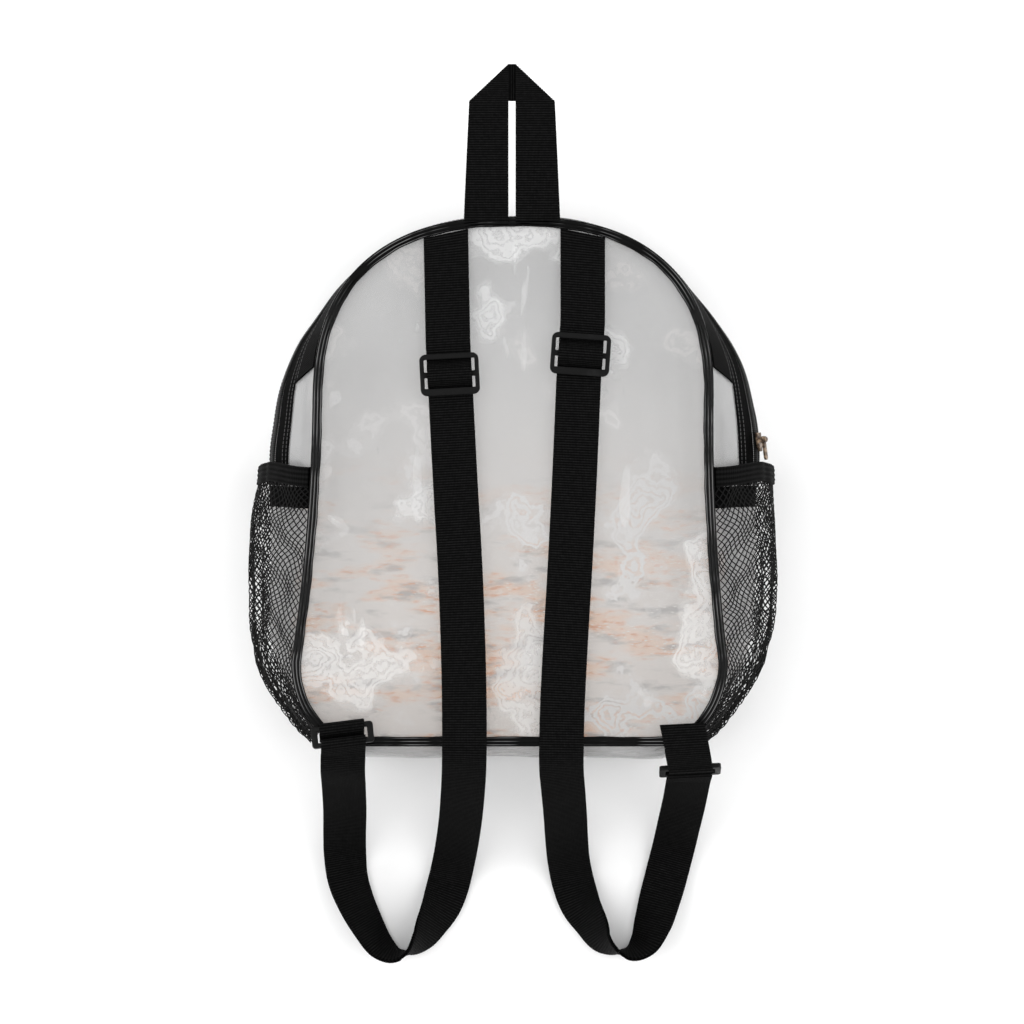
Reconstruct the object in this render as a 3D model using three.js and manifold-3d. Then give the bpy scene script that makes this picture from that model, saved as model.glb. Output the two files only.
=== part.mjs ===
// A clear stadium backpack lying on its front panel, back panel up, in millimetres.
// +X is the wearer's side to side, +Y runs up the pack to its handle, +Z rises from the surface.
// The origin is the middle of the front panel's outer face.
import * as THREE from "three";
import Module from "manifold-3d";
import { mergeVertices } from "three/addons/utils/BufferGeometryUtils.js";

const wasm = await Module();
wasm.setup();

// Clearance between pieces
const gap = 0.3;

// Body: the outline of the back panel, and how far the front panel lies below it
const depth = 108;
const halfHeight = 165.5;
const shoulderHalf = 125.3;
const shoulderHeight = 50;
const archPower = 2.47;
const hipHalf = 136.5;
const cornerWidth = 41;
const cornerHeight = 53;

// How far the top of the outline leans to the right of its middle line
const lean = 2.2;

// Body: how far the gusset bulges, by what share more on the right and less on the left, how much
// larger the front panel is, how far the back sags
const sideBulge = 26.3;
const bulgeSkew = 0.06;
const frontFlare = 14;
const panelSag = 3;
const wall = 1.2;

// Binding over the two seams
const bindingThickness = 1;
const bindingTop = 6;
const bindingLeg = 5;

// Zip: its height above the surface, its coil and tapes, and where it ends on both sides
const zipHeight = 66;
const coilWidth = 6;
const coilThickness = 3;
const coilEdge = 0.5;
const tapeRise = 15;
const tapeThickness = 1.2;
const zipEndHeight = -3;
const patchWidth = 14;
const patchThickness = 1.6;

// Zip slider, its pin and ears, and its pull tab with the eye that turns on the pin
const sliderAlong = 25;
const sliderLength = 12;
const sliderWidth = 8;
const sliderPlate = 1.6;
const pinRadius = 0.8;
const pullLength = 13;
const pullWidth = 4.4;
const pullThickness = 1.4;
const earThickness = 1;
const earLength = 3.2;
const eyeWall = 1.1;

// Reinforcing band over the arch
const bandThickness = 1.4;
const bandEndHeight = 62;
const bandSlant = 10;

// Side pockets: their reach past the back panel, the elastic, and how far above the bottom edge
// they close
const pocketReach = 41;
const meshThickness = 1;
const elasticTop = 9;
const elasticWidth = 12.5;
const elasticThickness = 2;
const pocketFoot = 9;

// Webbing of straps, tabs and handle
const webWidth = 28;
const webThickness = 1.3;
const layerGap = 0.4;

// Handle: two legs side by side that narrow upwards, folded over at the top. They start on the
// binding, a little inside the outline.
const handleLeg = 77.5;
const handleInset = 3;
const handleTopWidth = 24.8;
const handleSlot = 4.4;
const handleDroop = 14;

// Strap sliders: frames with three bars
const sliderFrameWidth = 37;
const sliderFrameHeight = 26;
const sliderFrameDepth = 2.6;
const sliderTopBar = 3.4;
const sliderCentreBar = 3.5;
const sliderBottomBar = 4.5;
const sliderSideBar = 2.7;
const sliderCorner = 4;

// Where the webbing leaves the panel, dips under the outer bars and crests the centre bar, as
// shares of the slider's height from its middle
const weaveExit = 0.8;
const weaveDip = 0.325;
const weaveCrest = 0.125;
const layersStart = 0.62;

// Lower rings: frames with one opening
const ringWidth = 38.8;
const ringOpening = 31.2;
const ringBar = 3;
const ringPitch = 10.4;
const ringCorner = 2;

// Straps: how far the loops reach past the bottom edge
const loopReach = 150;

// Heights that follow from the sizes above
const seam = bindingThickness + gap;
const backInside = depth - wall;
const bindingCrown = depth + gap + bindingThickness;
const gussetHead = depth - bindingLeg - 2 * gap;
const gussetFoot = bindingLeg + 2 * gap;
const layerPitch = webThickness + layerGap;
const strapLow = bindingCrown + gap + webThickness / 2 + layerPitch;
const frameBottom = strapLow + webThickness / 2 + gap;
const frameTop = frameBottom + sliderFrameDepth;
const wrapTop = frameTop + gap + webThickness / 2;
const strapHigh = wrapTop + webThickness + gap;
const barWrap = (ringBar * Math.SQRT2) / 2 + 1.5 * gap + webThickness / 2;

// How the gusset stands out, by height up the pack as a share of its half height:
// bulge is a share of sideBulge, flare of frontFlare.
const sideForm = [
  { height: 1.0, bulge: 0.06, flare: 0.57 },
  { height: 0.74, bulge: 0.06, flare: 0.6 },
  { height: 0.61, bulge: 0.24, flare: 0.72 },
  { height: 0.51, bulge: 0.48, flare: 0.82 },
  { height: 0.36, bulge: 0.79, flare: 0.93 },
  { height: 0.13, bulge: 1.0, flare: 1.0 },
  { height: -0.05, bulge: 0.92, flare: 1.0 },
  { height: -0.3, bulge: 0.78, flare: 1.0 },
  { height: -0.65, bulge: 0.5, flare: 0.85 },
  { height: -0.74, bulge: 0.3, flare: 0.77 },
  { height: -0.85, bulge: 0.1, flare: 0.64 },
  { height: -0.96, bulge: 0.1, flare: 0.57 },
  { height: -1.0, bulge: 0.34, flare: 0.57 },
];

// How far the mesh pockets stand out on either side, as a share of pocketReach.
const pocketForm = [
  { height: 0.0, left: 0.82, right: 0.95 },
  { height: -0.08, left: 0.88, right: 0.95 },
  { height: -0.26, left: 0.9, right: 0.95 },
  { height: -0.46, left: 0.8, right: 0.88 },
  { height: -0.65, left: 0.66, right: 0.7 },
  { height: -0.74, left: 0.5, right: 0.5 },
  { height: -0.85, left: 0.31, right: 0.31 },
  { height: -0.94, left: 0.25, right: 0.25 },
];

// Strap routes. across is a share of hipHalf; along runs from slider (0) to bottom edge (1);
// out is a share of loopReach past the bottom edge; lift is a share of depth, 0 on the surface;
// roll is the turn of the webbing about its run, in degrees. A ring's crown is the height of its
// lower bar above the binding, as a share of barWrap. A tab's back is a share of its length behind
// the ring's upper bar, and its rise goes from that bar (0) to the top of the binding (1).
const straps = [
  {
    name: "left",
    side: -1,
    seamAcross: 0.303,
    slider: { across: 0.285, up: 0.404, lean: 3 },
    run: [
      { across: 0.258, along: 0.25 },
      { across: 0.236, along: 0.5 },
      { across: 0.222, along: 0.75 },
      { across: 0.218, along: 0.9 },
    ],
    loop: [
      { across: 0.218, out: 0.02, lift: 1.03, roll: 0 },
      { across: 0.219, out: 0.058, lift: 1.0, roll: 0 },
      { across: 0.221, out: 0.11, lift: 0.93, roll: 0 },
      { across: 0.228, out: 0.202, lift: 0.78, roll: 0 },
      { across: 0.241, out: 0.326, lift: 0.54, roll: 0 },
      { across: 0.259, out: 0.444, lift: 0.3, roll: 0 },
      { across: 0.281, out: 0.556, lift: 0.11, roll: 0 },
      { across: 0.307, out: 0.66, lift: 0.03, roll: 6 },
      { across: 0.34, out: 0.75, lift: 0, roll: 22 },
      { across: 0.383, out: 0.826, lift: 0, roll: 40 },
      { across: 0.431, out: 0.9, lift: 0, roll: 57 },
      { across: 0.494, out: 0.955, lift: 0, roll: 78 },
      { across: 0.565, out: 0.966, lift: 0, roll: 100 },
      { across: 0.632, out: 0.93, lift: 0, roll: 118 },
      { across: 0.7, out: 0.835, lift: 0, roll: 131 },
      { across: 0.757, out: 0.733, lift: 0, roll: 142 },
      { across: 0.795, out: 0.635, lift: 0.04, roll: 154 },
      { across: 0.806, out: 0.525, lift: 0.11, roll: 167 },
      { across: 0.802, out: 0.43, lift: 0.24, roll: 177 },
      { across: 0.792, out: 0.311, lift: 0.44, roll: 180 },
      { across: 0.784, out: 0.188, lift: 0.72, roll: 180 },
      { across: 0.778, out: 0.1, lift: 0.95, roll: 180 },
    ],
    ring: { across: 0.769, out: -0.018, crown: 2.38, tilt: -19, swing: 7 },
    tab: {
      length: 8,
      lean: 180,
      over: [
        { back: 1, rise: 0.72 },
        { back: 0.7, rise: 0.6 },
        { back: 0.4, rise: 0.12 },
      ],
      under: [
        { back: 0.4, rise: 0 },
        { back: 1, rise: 0 },
      ],
    },
  },
  {
    name: "right",
    side: 1,
    seamAcross: 0.324,
    slider: { across: 0.313, up: 0.479, lean: -4 },
    run: [
      { across: 0.287, along: 0.25 },
      { across: 0.266, along: 0.5 },
      { across: 0.242, along: 0.75 },
      { across: 0.23, along: 0.9 },
    ],
    loop: [
      { across: 0.226, out: 0.02, lift: 1.03, roll: 0 },
      { across: 0.226, out: 0.058, lift: 1.0, roll: 0 },
      { across: 0.228, out: 0.11, lift: 0.93, roll: 0 },
      { across: 0.238, out: 0.202, lift: 0.78, roll: 0 },
      { across: 0.251, out: 0.326, lift: 0.54, roll: 0 },
      { across: 0.261, out: 0.444, lift: 0.3, roll: 0 },
      { across: 0.274, out: 0.556, lift: 0.11, roll: 0 },
      { across: 0.297, out: 0.66, lift: 0.03, roll: 6 },
      { across: 0.331, out: 0.75, lift: 0, roll: 20 },
      { across: 0.379, out: 0.826, lift: 0, roll: 38 },
      { across: 0.433, out: 0.91, lift: 0, roll: 57 },
      { across: 0.504, out: 0.953, lift: 0, roll: 78 },
      { across: 0.575, out: 0.958, lift: 0, roll: 100 },
      { across: 0.638, out: 0.918, lift: 0, roll: 122 },
      { across: 0.681, out: 0.832, lift: 0, roll: 143 },
      { across: 0.714, out: 0.733, lift: 0, roll: 157 },
      { across: 0.75, out: 0.62, lift: 0.03, roll: 169 },
      { across: 0.782, out: 0.492, lift: 0.1, roll: 177 },
      { across: 0.8, out: 0.376, lift: 0.28, roll: 180 },
      { across: 0.814, out: 0.276, lift: 0.46, roll: 180 },
    ],
    ring: { across: 0.824, out: 0.125, crown: -6.8, tilt: 64, swing: 3 },
    tab: {
      length: 29,
      lean: 12,
      over: [
        { back: 1, rise: 1 },
        { back: 0.75, rise: 1.02 },
        { back: 0.5, rise: 1 },
        { back: 0.3, rise: 0.7 },
      ],
      under: [
        { back: 0.24, rise: 0.05 },
        { back: 0.42, rise: 0.53 },
      ],
    },
  },
];

// Colours with their roughness and metalness
const clearPvc = { color: 0xe4e8ea, roughness: 0.12, metalness: 0, transparent: true, opacity: 0.35 };
const milkyPvc = { color: 0xcfcfcd, roughness: 0.2, metalness: 0, transparent: true, opacity: 0.6 };
const printedPvc = { color: 0x3c4a78, roughness: 0.3, metalness: 0 };
const glossBlack = { color: 0x101010, roughness: 0.25, metalness: 0 };
const webBlack = { color: 0x141414, roughness: 0.8, metalness: 0 };
const tapeBlack = { color: 0x0c0c0c, roughness: 0.85, metalness: 0 };
const meshBlack = { color: 0x2a2a2a, roughness: 0.8, metalness: 0 };
const mouldedBlack = { color: 0x1c1c1e, roughness: 0.5, metalness: 0 };
const oldBrass = { color: 0x6b5a3c, roughness: 0.4, metalness: 1 };

const pack = new THREE.Group();
const up = new THREE.Vector3(0, 0, 1);
const point = (x, y, z) => new THREE.Vector3(x, y, z);
const radians = THREE.MathUtils.degToRad;

function addPiece(name, geometry, finish, parent = pack) {
  geometry.computeVertexNormals();
  const piece = new THREE.Mesh(geometry, new THREE.MeshStandardMaterial(finish));
  piece.name = name;
  parent.add(piece);
  return piece;
}

// A geometry from points and triangles, with its faces turned outwards.
function closedGeometry(points, index) {
  const volume = index.reduce((sum, _, i) => {
    if (i % 3) return sum;
    const [a, b, c] = [points[index[i]], points[index[i + 1]], points[index[i + 2]]];
    return sum + a.dot(b.clone().cross(c));
  }, 0);
  const outward = volume < 0 ? [...index].reverse() : index;
  const geometry = new THREE.BufferGeometry().setFromPoints(points);
  geometry.setIndex(outward);
  return geometry;
}

// A wall carried through a run of sections, each with a front and a back line of points.
// Both faces of the wall share the same diagonals, so its thickness holds where it twists.
function wallSolid(sections, closed = false) {
  const points = sections.flatMap(({ front, back }) => [...front, ...[...back].reverse()]);
  const last = sections[0].front.length - 1;
  const around = 2 * (last + 1);
  const count = sections.length;
  const index = [];
  for (let i = 0; i < count - (closed ? 0 : 1); i++) {
    for (let j = 0; j < around; j++) {
      const a = i * around + j;
      const b = i * around + ((j + 1) % around);
      const c = ((i + 1) % count) * around + ((j + 1) % around);
      const d = ((i + 1) % count) * around + j;
      if (j > last !== Boolean(sections[i].turned)) index.push(a, b, d, b, c, d);
      else index.push(a, b, c, a, c, d);
    }
  }
  if (!closed) {
    const end = (count - 1) * around;
    for (let j = 0; j < last; j++) {
      const far = around - 1 - j;
      index.push(j, far, far - 1, j, far - 1, j + 1);
      index.push(end + j, end + j + 1, end + far - 1, end + j, end + far - 1, end + far);
    }
  }
  return closedGeometry(points, index);
}

// A plate between two stacks of rings, each stack running from the rim to one middle point.
function plateSolid(topRings, topMiddle, lowRings, lowMiddle) {
  const count = topRings[0].length;
  const points = [...topRings.flat(), topMiddle, ...lowRings.flat(), lowMiddle];
  const index = [];
  const face = (rings, start, turned) => {
    const middle = start + rings.length * count;
    const add = (a, b, c) => (turned ? index.push(a, c, b) : index.push(a, b, c));
    for (let i = 0; i < count; i++) {
      const next = (i + 1) % count;
      for (let r = 0; r < rings.length - 1; r++) {
        const at = start + r * count;
        add(at + i, at + next, at + count + next);
        add(at + i, at + count + next, at + count + i);
      }
      const rim = start + (rings.length - 1) * count;
      add(rim + i, rim + next, middle);
    }
  };
  const lowStart = topRings.length * count + 1;
  face(topRings, 0, false);
  face(lowRings, lowStart, true);
  for (let i = 0; i < count; i++) {
    const next = (i + 1) % count;
    index.push(i, lowStart + i, lowStart + next, i, lowStart + next, next);
  }
  return closedGeometry(points, index);
}

function toManifold(geometry) {
  const bare = geometry.clone();
  bare.deleteAttribute("normal");
  bare.deleteAttribute("uv");
  const merged = mergeVertices(bare, 1e-4);
  const mesh = new wasm.Mesh({
    numProp: 3,
    vertProperties: merged.attributes.position.array,
    triVerts: new Uint32Array(merged.index.array),
  });
  return new wasm.Manifold(mesh);
}

function fromManifold(solid) {
  const { vertProperties, triVerts } = solid.getMesh();
  const geometry = new THREE.BufferGeometry();
  geometry.setAttribute("position", new THREE.BufferAttribute(vertProperties, 3));
  geometry.setIndex(new THREE.BufferAttribute(triVerts, 1));
  return geometry;
}

const joined = (geometries) =>
  fromManifold(geometries.map(toManifold).reduce((whole, piece) => whole.add(piece)));

// A flat shape given thickness between two levels of its own plane.
function slab(corners, low, high) {
  const shape = new THREE.Shape(corners.map(([x, y]) => new THREE.Vector2(x, y)));
  const geometry = new THREE.ExtrudeGeometry(shape, { depth: high - low, bevelEnabled: false });
  return geometry.translate(0, 0, low);
}

// A column of a table, read at a height with straight steps between its rows.
function readTable(table, height, column) {
  const next = table.findIndex((row) => row.height <= height);
  if (next === 0) return table[0][column];
  if (next < 0) return table[table.length - 1][column];
  const [a, b] = [table[next - 1], table[next]];
  return THREE.MathUtils.mapLinear(height, a.height, b.height, a[column], b[column]);
}

// The right half of the back panel's outline, from the middle of its top to the middle of its
// bottom: an arch whose power rounds it, a side that widens with the square of the way down,
// an elliptical corner and a straight bottom.
function halfOutline() {
  const points = [];
  const archHeight = halfHeight - shoulderHeight;
  const hipHeight = cornerHeight - halfHeight;
  const archSteps = 13;
  for (let i = 0; i <= archSteps; i++) {
    const angle = (Math.PI / 2) * (i / archSteps);
    const x = shoulderHalf * Math.sin(angle) ** (2 / archPower);
    const y = shoulderHeight + archHeight * Math.cos(angle) ** (2 / archPower);
    points.push({ x, y });
  }
  const sideSteps = 7;
  for (let i = 1; i <= sideSteps; i++) {
    const t = i / sideSteps;
    const x = shoulderHalf + (hipHalf - shoulderHalf) * t * t;
    points.push({ x, y: shoulderHeight + (hipHeight - shoulderHeight) * t });
  }
  const cornerSteps = 6;
  for (let i = 1; i <= cornerSteps; i++) {
    const angle = (Math.PI / 2) * (i / cornerSteps);
    const x = hipHalf - cornerWidth * (1 - Math.cos(angle));
    points.push({ x, y: hipHeight - cornerHeight * Math.sin(angle) });
  }
  const bottomSteps = 4;
  for (let i = 1; i <= bottomSteps; i++) {
    points.push({ x: (hipHalf - cornerWidth) * (1 - i / bottomSteps), y: -halfHeight });
  }
  let length = 0;
  points.forEach((p, i) => {
    if (i > 0) length += Math.hypot(p.x - points[i - 1].x, p.y - points[i - 1].y);
    p.length = length;
  });
  points.forEach((p, i) => {
    const before = points[i - 1] ?? { x: -points[1].x, y: points[1].y };
    const after = points[i + 1] ?? { x: -points[i - 1].x, y: points[i - 1].y };
    const size = Math.hypot(after.x - before.x, after.y - before.y);
    p.nx = (before.y - after.y) / size;
    p.ny = (after.x - before.x) / size;
  });
  return points;
}

function archHeightAt(x) {
  const share = Math.abs(x - lean) / shoulderHalf;
  const rise = (1 - share ** archPower) ** (1 / archPower);
  return shoulderHeight + (halfHeight - shoulderHeight) * rise;
}

const outline = halfOutline();
const halfLength = outline[outline.length - 1].length;

// A place on the outline. turn 0 is the middle of the top, 1 the middle of the bottom going
// down the right side, and 2 the top again; negative turns go down the left side.
function edgeAt(turn) {
  const signed = turn > 1 ? turn - 2 : turn;
  const side = signed < 0 ? -1 : 1;
  const length = Math.abs(signed) * halfLength;
  const next = Math.max(1, outline.findIndex((p) => p.length >= length - 1e-6));
  const [a, b] = [outline[next - 1], outline[next]];
  const t = (length - a.length) / (b.length - a.length);
  const mix = (column) => a[column] + (b[column] - a[column]) * t;
  const size = Math.hypot(mix("nx"), mix("ny"));
  const x = side * mix("x") + (lean * mix("y")) / halfHeight;
  return { x, y: mix("y"), nx: (side * mix("nx")) / size, ny: mix("ny") / size };
}

function turnAtHeight(y) {
  const next = outline.findIndex((p) => p.y <= y);
  const [a, b] = [outline[next - 1], outline[next]];
  return THREE.MathUtils.mapLinear(y, a.y, b.y, a.length, b.length) / halfLength;
}

// The outline's own stations between two turns, with the two turns themselves at the ends.
function turnsBetween(from, to) {
  const shares = outline.map((p) => p.length / halfLength);
  const all = [...shares.map((s) => -s), ...shares, ...shares.map((s) => 2 - s)];
  const apart = 0.006;
  const inside = [...new Set(all)].filter((s) => s > from + apart && s < to - apart);
  inside.sort((a, b) => a - b);
  return [from, ...inside.filter((s, i) => i === 0 || s - inside[i - 1] > 1e-9), to];
}

function closedTurns() {
  return turnsBetween(0, 2).slice(0, -1);
}

// A point that lies a distance outside the outline, at a height.
function outside(turn, out, z) {
  const edge = edgeAt(turn);
  return point(edge.x + edge.nx * out, edge.y + edge.ny * out, z);
}

const flareAt = (turn) =>
  frontFlare * readTable(sideForm, edgeAt(turn).y / halfHeight, "flare");

// How far the gusset's outer face lies outside the outline at a height: the front panel's
// flare fades upwards, and a parabola bulges it between its two seams.
function gussetOut(turn, z) {
  const { x, y } = edgeAt(turn);
  const skew = 1 + (bulgeSkew * x) / hipHalf;
  const bulge = sideBulge * skew * readTable(sideForm, y / halfHeight, "bulge");
  const w = THREE.MathUtils.clamp((z - gussetFoot) / (gussetHead - gussetFoot), 0, 1);
  return flareAt(turn) * (1 - w) + bulge * 4 * w * (1 - w) - seam;
}

// The mesh pocket's inner face, from the front binding (0) to the back binding (1).
function pocketOut(turn, w) {
  const { x, y } = edgeAt(turn);
  const reach = pocketReach * readTable(pocketForm, y / halfHeight, x < 0 ? "left" : "right");
  const flare = flareAt(turn);
  const roundness = 0.7;
  const bulge = reach - flare * 0.4;
  return flare * (1 - w) + gap + bulge * (4 * w * (1 - w)) ** roundness;
}

// A section across a curved side: the outer and inner line at given offsets from a surface.
function sideSection(turnOf, levels, surface, outer, inner) {
  const step = 1;
  const line = (offset) =>
    levels.map((z, i) => {
      const turn = turnOf(i);
      const slope = (surface(turn, z + step) - surface(turn, z - step)) / (2 * step);
      const size = Math.hypot(1, slope);
      return outside(turn, surface(turn, z) + offset / size, z - (offset * slope) / size);
    });
  return { front: line(outer), back: line(inner) };
}

function gussetStrip(from, to, levels, outer = 0, inner = -wall) {
  const sections = turnsBetween(from, to).map((turn) =>
    sideSection(() => turn, levels, gussetOut, outer, inner),
  );
  return wallSolid(sections);
}

const stepsBetween = (low, high, steps) =>
  Array.from({ length: steps + 1 }, (_, i) => low + ((high - low) * i) / steps);

// Turns where the pieces of the gusset meet
const gapTurn = gap / halfLength;
const zipEndTurn = turnAtHeight(zipEndHeight);
const patchEndTurn = zipEndTurn + patchWidth / halfLength;

const gussetTop = backInside - gap;
const frontMarginTop = seam + wall;
const gussetBottom = frontMarginTop + gap;
const coilHalf = coilWidth / 2;
const rearTapeFoot = zipHeight + coilHalf + gap;
const rearTapeHead = rearTapeFoot + tapeRise;
const frontTapeHead = zipHeight - coilHalf - gap;
const frontTapeFoot = frontTapeHead - tapeRise;

function makeGussets() {
  const rearFoot = rearTapeHead + gap;
  const rearLevels = [...stepsBetween(rearFoot, gussetHead, 2), gussetTop];
  const frontLevels = [gussetBottom, ...stepsBetween(gussetFoot, frontTapeFoot - gap, 4)];
  const wholeLevels = [gussetBottom, ...stepsBetween(gussetFoot, gussetHead, 6), gussetTop];
  addPiece("zip_gusset_rear", gussetStrip(-zipEndTurn, zipEndTurn, rearLevels), clearPvc);
  addPiece("zip_gusset_front", gussetStrip(-zipEndTurn, zipEndTurn, frontLevels), clearPvc);
  const bottomStart = patchEndTurn + gapTurn;
  const bottom = gussetStrip(bottomStart, 2 - bottomStart, wholeLevels);
  addPiece("bottom_gusset", bottom, clearPvc);
  const patchStart = zipEndTurn + gapTurn;
  const patch = [wholeLevels, 0, -patchThickness];
  addPiece("zip_end_patch_right", gussetStrip(patchStart, patchEndTurn, ...patch), tapeBlack);
  addPiece("zip_end_patch_left", gussetStrip(-patchEndTurn, -patchStart, ...patch), tapeBlack);
}

// The coil is a flattened hexagon carried along the zip's line.
function makeZip() {
  const rearLevels = stepsBetween(rearTapeFoot, rearTapeHead, 2);
  const frontLevels = stepsBetween(frontTapeFoot, frontTapeHead, 2);
  const tape = [0, -tapeThickness];
  addPiece("zip_tape_rear", gussetStrip(-zipEndTurn, zipEndTurn, rearLevels, ...tape), tapeBlack);
  addPiece("zip_tape_front", gussetStrip(-zipEndTurn, zipEndTurn, frontLevels, ...tape), tapeBlack);
  const sections = turnsBetween(-zipEndTurn, zipEndTurn).map((turn) => {
    const at = (z, offset) =>
      sideSection(() => turn, [z], gussetOut, offset, offset).front[0];
    const [low, high] = [zipHeight - coilHalf, zipHeight + coilHalf];
    const half = coilThickness / 2;
    const tooth = half - tapeThickness;
    return {
      front: [at(low, tooth), at(zipHeight, tooth + half), at(high, tooth)],
      back: [at(low, tooth - coilEdge), at(zipHeight, tooth - half), at(high, tooth - coilEdge)],
    };
  });
  addPiece("zip_coil", wallSolid(sections), tapeBlack);
}

// The band covers the rear gusset over the arch; its two ends are cut on a slant.
function makeTopBand() {
  const levels = stepsBetween(rearTapeHead + 1, gussetHead - 2 * gap - bandThickness, 2);
  const endTurn = turnAtHeight(bandEndHeight);
  const slant = bandSlant / halfLength;
  const offsets = [gap + bandThickness, gap];
  const square = (turn) => sideSection(() => turn, levels, gussetOut, ...offsets);
  const cut = (side) =>
    sideSection((i) => side * (endTurn - (slant * i) / 2), levels, gussetOut, ...offsets);
  const middle = turnsBetween(slant * 1.2 - endTurn, endTurn - slant * 1.2).map(square);
  addPiece("top_band", wallSolid([cut(-1), ...middle, cut(1)]), webBlack);
}

// An angle over the seam: one leg lies on the panel's margin, the other outside the gusset.
function makeBindings() {
  const ring = (outOf, crown, under, legEnd) =>
    wallSolid(
      closedTurns().map((turn) => {
        const out = outOf(turn);
        return {
          front: [
            outside(turn, out - bindingTop, crown),
            outside(turn, out, crown),
            outside(turn, out, legEnd),
          ],
          back: [
            outside(turn, out - bindingTop, under),
            outside(turn, out - bindingThickness, under),
            outside(turn, out - bindingThickness, legEnd),
          ],
        };
      }),
      true,
    );
  const back = ring(() => 0, bindingCrown, depth + gap, depth - bindingLeg);
  const front = ring(flareAt, 0, bindingThickness, bindingLeg);
  addPiece("back_binding", back, glossBlack);
  addPiece("front_binding", front, glossBlack);
}

// The back panel hangs a little in its middle. The front panel's margin is lifted by the
// binding under it, and its field lies flat on the surface.
function makePanels() {
  const turns = closedTurns();
  const rim = (outOf, inset) => turns.map((turn) => outside(turn, outOf(turn) - inset, 0));
  const shrunk = (ring, share) => ring.map((p) => p.clone().multiplyScalar(share));
  const levelled = (ring, z) => ring.map((p) => point(p.x, p.y, z));
  const margin = bindingTop + 2;

  const backRim = rim(() => 0, seam);
  const backField = rim(() => 0, margin);
  const shares = [1, 0.72, 0.4];
  const sag = (share) => panelSag * (1 - share * share);
  const backRings = (z) => [
    levelled(backRim, z),
    ...shares.map((share) => levelled(shrunk(backField, share), z - sag(share))),
  ];
  const hang = (z) => point(0, 0, z - panelSag);
  const back = plateSolid(backRings(depth), hang(depth), backRings(backInside), hang(backInside));
  addPiece("back_panel", back, milkyPvc);

  const frontRings = (lift) => [
    levelled(rim(flareAt, seam), seam + lift),
    levelled(rim(flareAt, margin), seam + lift),
    levelled(rim(flareAt, margin + 6), lift),
  ];
  const front = plateSolid(frontRings(wall), point(0, 0, wall), frontRings(0), point(0, 0, 0));
  addPiece("front_panel", front, printedPvc);
}

// A pocket is a shell between the two bindings, closed at the corner by drawing in to the
// gusset, with an elastic band round its mouth.
function makePockets() {
  const low = bindingLeg / 2;
  const high = depth - bindingLeg / 2;
  const surface = (turn, z) =>
    pocketOut(turn, THREE.MathUtils.clamp((z - low) / (high - low), 0, 1));
  const shares = [0, 0.04, 0.16, 0.34, 0.55, 0.76, 0.91, 0.975, 1];
  const levels = shares.map((w) => low + (high - low) * w);
  const strip = (turns, thickness) =>
    wallSolid(turns.map((turn) => sideSection(() => turn, levels, surface, thickness, 0)));
  const top = turnAtHeight(elasticTop);
  const elasticEnd = top + elasticWidth / halfLength;
  const foot = turnAtHeight(pocketFoot - halfHeight);
  for (const [name, side] of [["left", -1], ["right", 1]]) {
    const sided = (turns) => turns.map((turn) => side * turn);
    const net = turnsBetween(elasticEnd + gapTurn, foot);
    addPiece("pocket_mesh_" + name, strip(sided(net), meshThickness), meshBlack);
    const band = strip(sided([top, elasticEnd]), elasticThickness);
    addPiece("pocket_elastic_" + name, band, webBlack);
  }
}

// Flat webbing through stations that each hold a place and the direction of its width.
function ribbon(stations) {
  const sections = stations.map(({ at, wide, turned }, i) => {
    const before = stations[Math.max(i - 1, 0)].at;
    const after = stations[Math.min(i + 1, stations.length - 1)].at;
    const arriving = at.clone().sub(before).normalize();
    const leaving = after.clone().sub(at).normalize();
    const along = arriving.clone().add(leaving).normalize();
    const face = wide.clone().cross(along).normalize();
    const mitre = Math.min(1.35, 1 / Math.max(0.5, along.dot(i > 0 ? arriving : leaving)));
    const corner = (w, n) =>
      at
        .clone()
        .addScaledVector(wide, (w * webWidth) / 2)
        .addScaledVector(face, (n * mitre * webThickness) / 2);
    return { front: [corner(1, 1), corner(-1, 1)], back: [corner(1, -1), corner(-1, -1)], turned };
  });
  return wallSolid(sections);
}

// Height of the middle of two webbing layers that lie rolled on the surface.
function restingHeight(roll) {
  const stack = layerPitch / 2 + webThickness / 2;
  const angle = radians(roll);
  return (webWidth / 2) * Math.abs(Math.sin(angle)) + stack * Math.abs(Math.cos(angle)) + 0.05;
}

// Places and directions of a strap's slider and ring.
function sliderFrame({ side, slider }) {
  const centre = point(side * slider.across * hipHalf, slider.up * halfHeight, 0);
  const lean = radians(slider.lean);
  const wide = point(Math.cos(lean), Math.sin(lean), 0);
  const upward = point(-Math.sin(lean), Math.cos(lean), 0);
  return { centre, wide, upward };
}

function ringFrame({ side, ring }) {
  const lower = point(side * ring.across * hipHalf, -halfHeight - ring.out * loopReach, 0);
  lower.z = bindingCrown + ring.crown * barWrap;
  const swing = radians(ring.swing);
  const bar = point(Math.cos(swing), Math.sin(swing), 0);
  const level = point(-Math.sin(swing), Math.cos(swing), 0);
  const tilt = radians(ring.tilt);
  const rise = level.clone().multiplyScalar(Math.cos(tilt)).addScaledVector(up, Math.sin(tilt));
  const upper = lower.clone().addScaledVector(rise, ringPitch);
  return { lower, upper, bar, rise, level };
}

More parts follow.
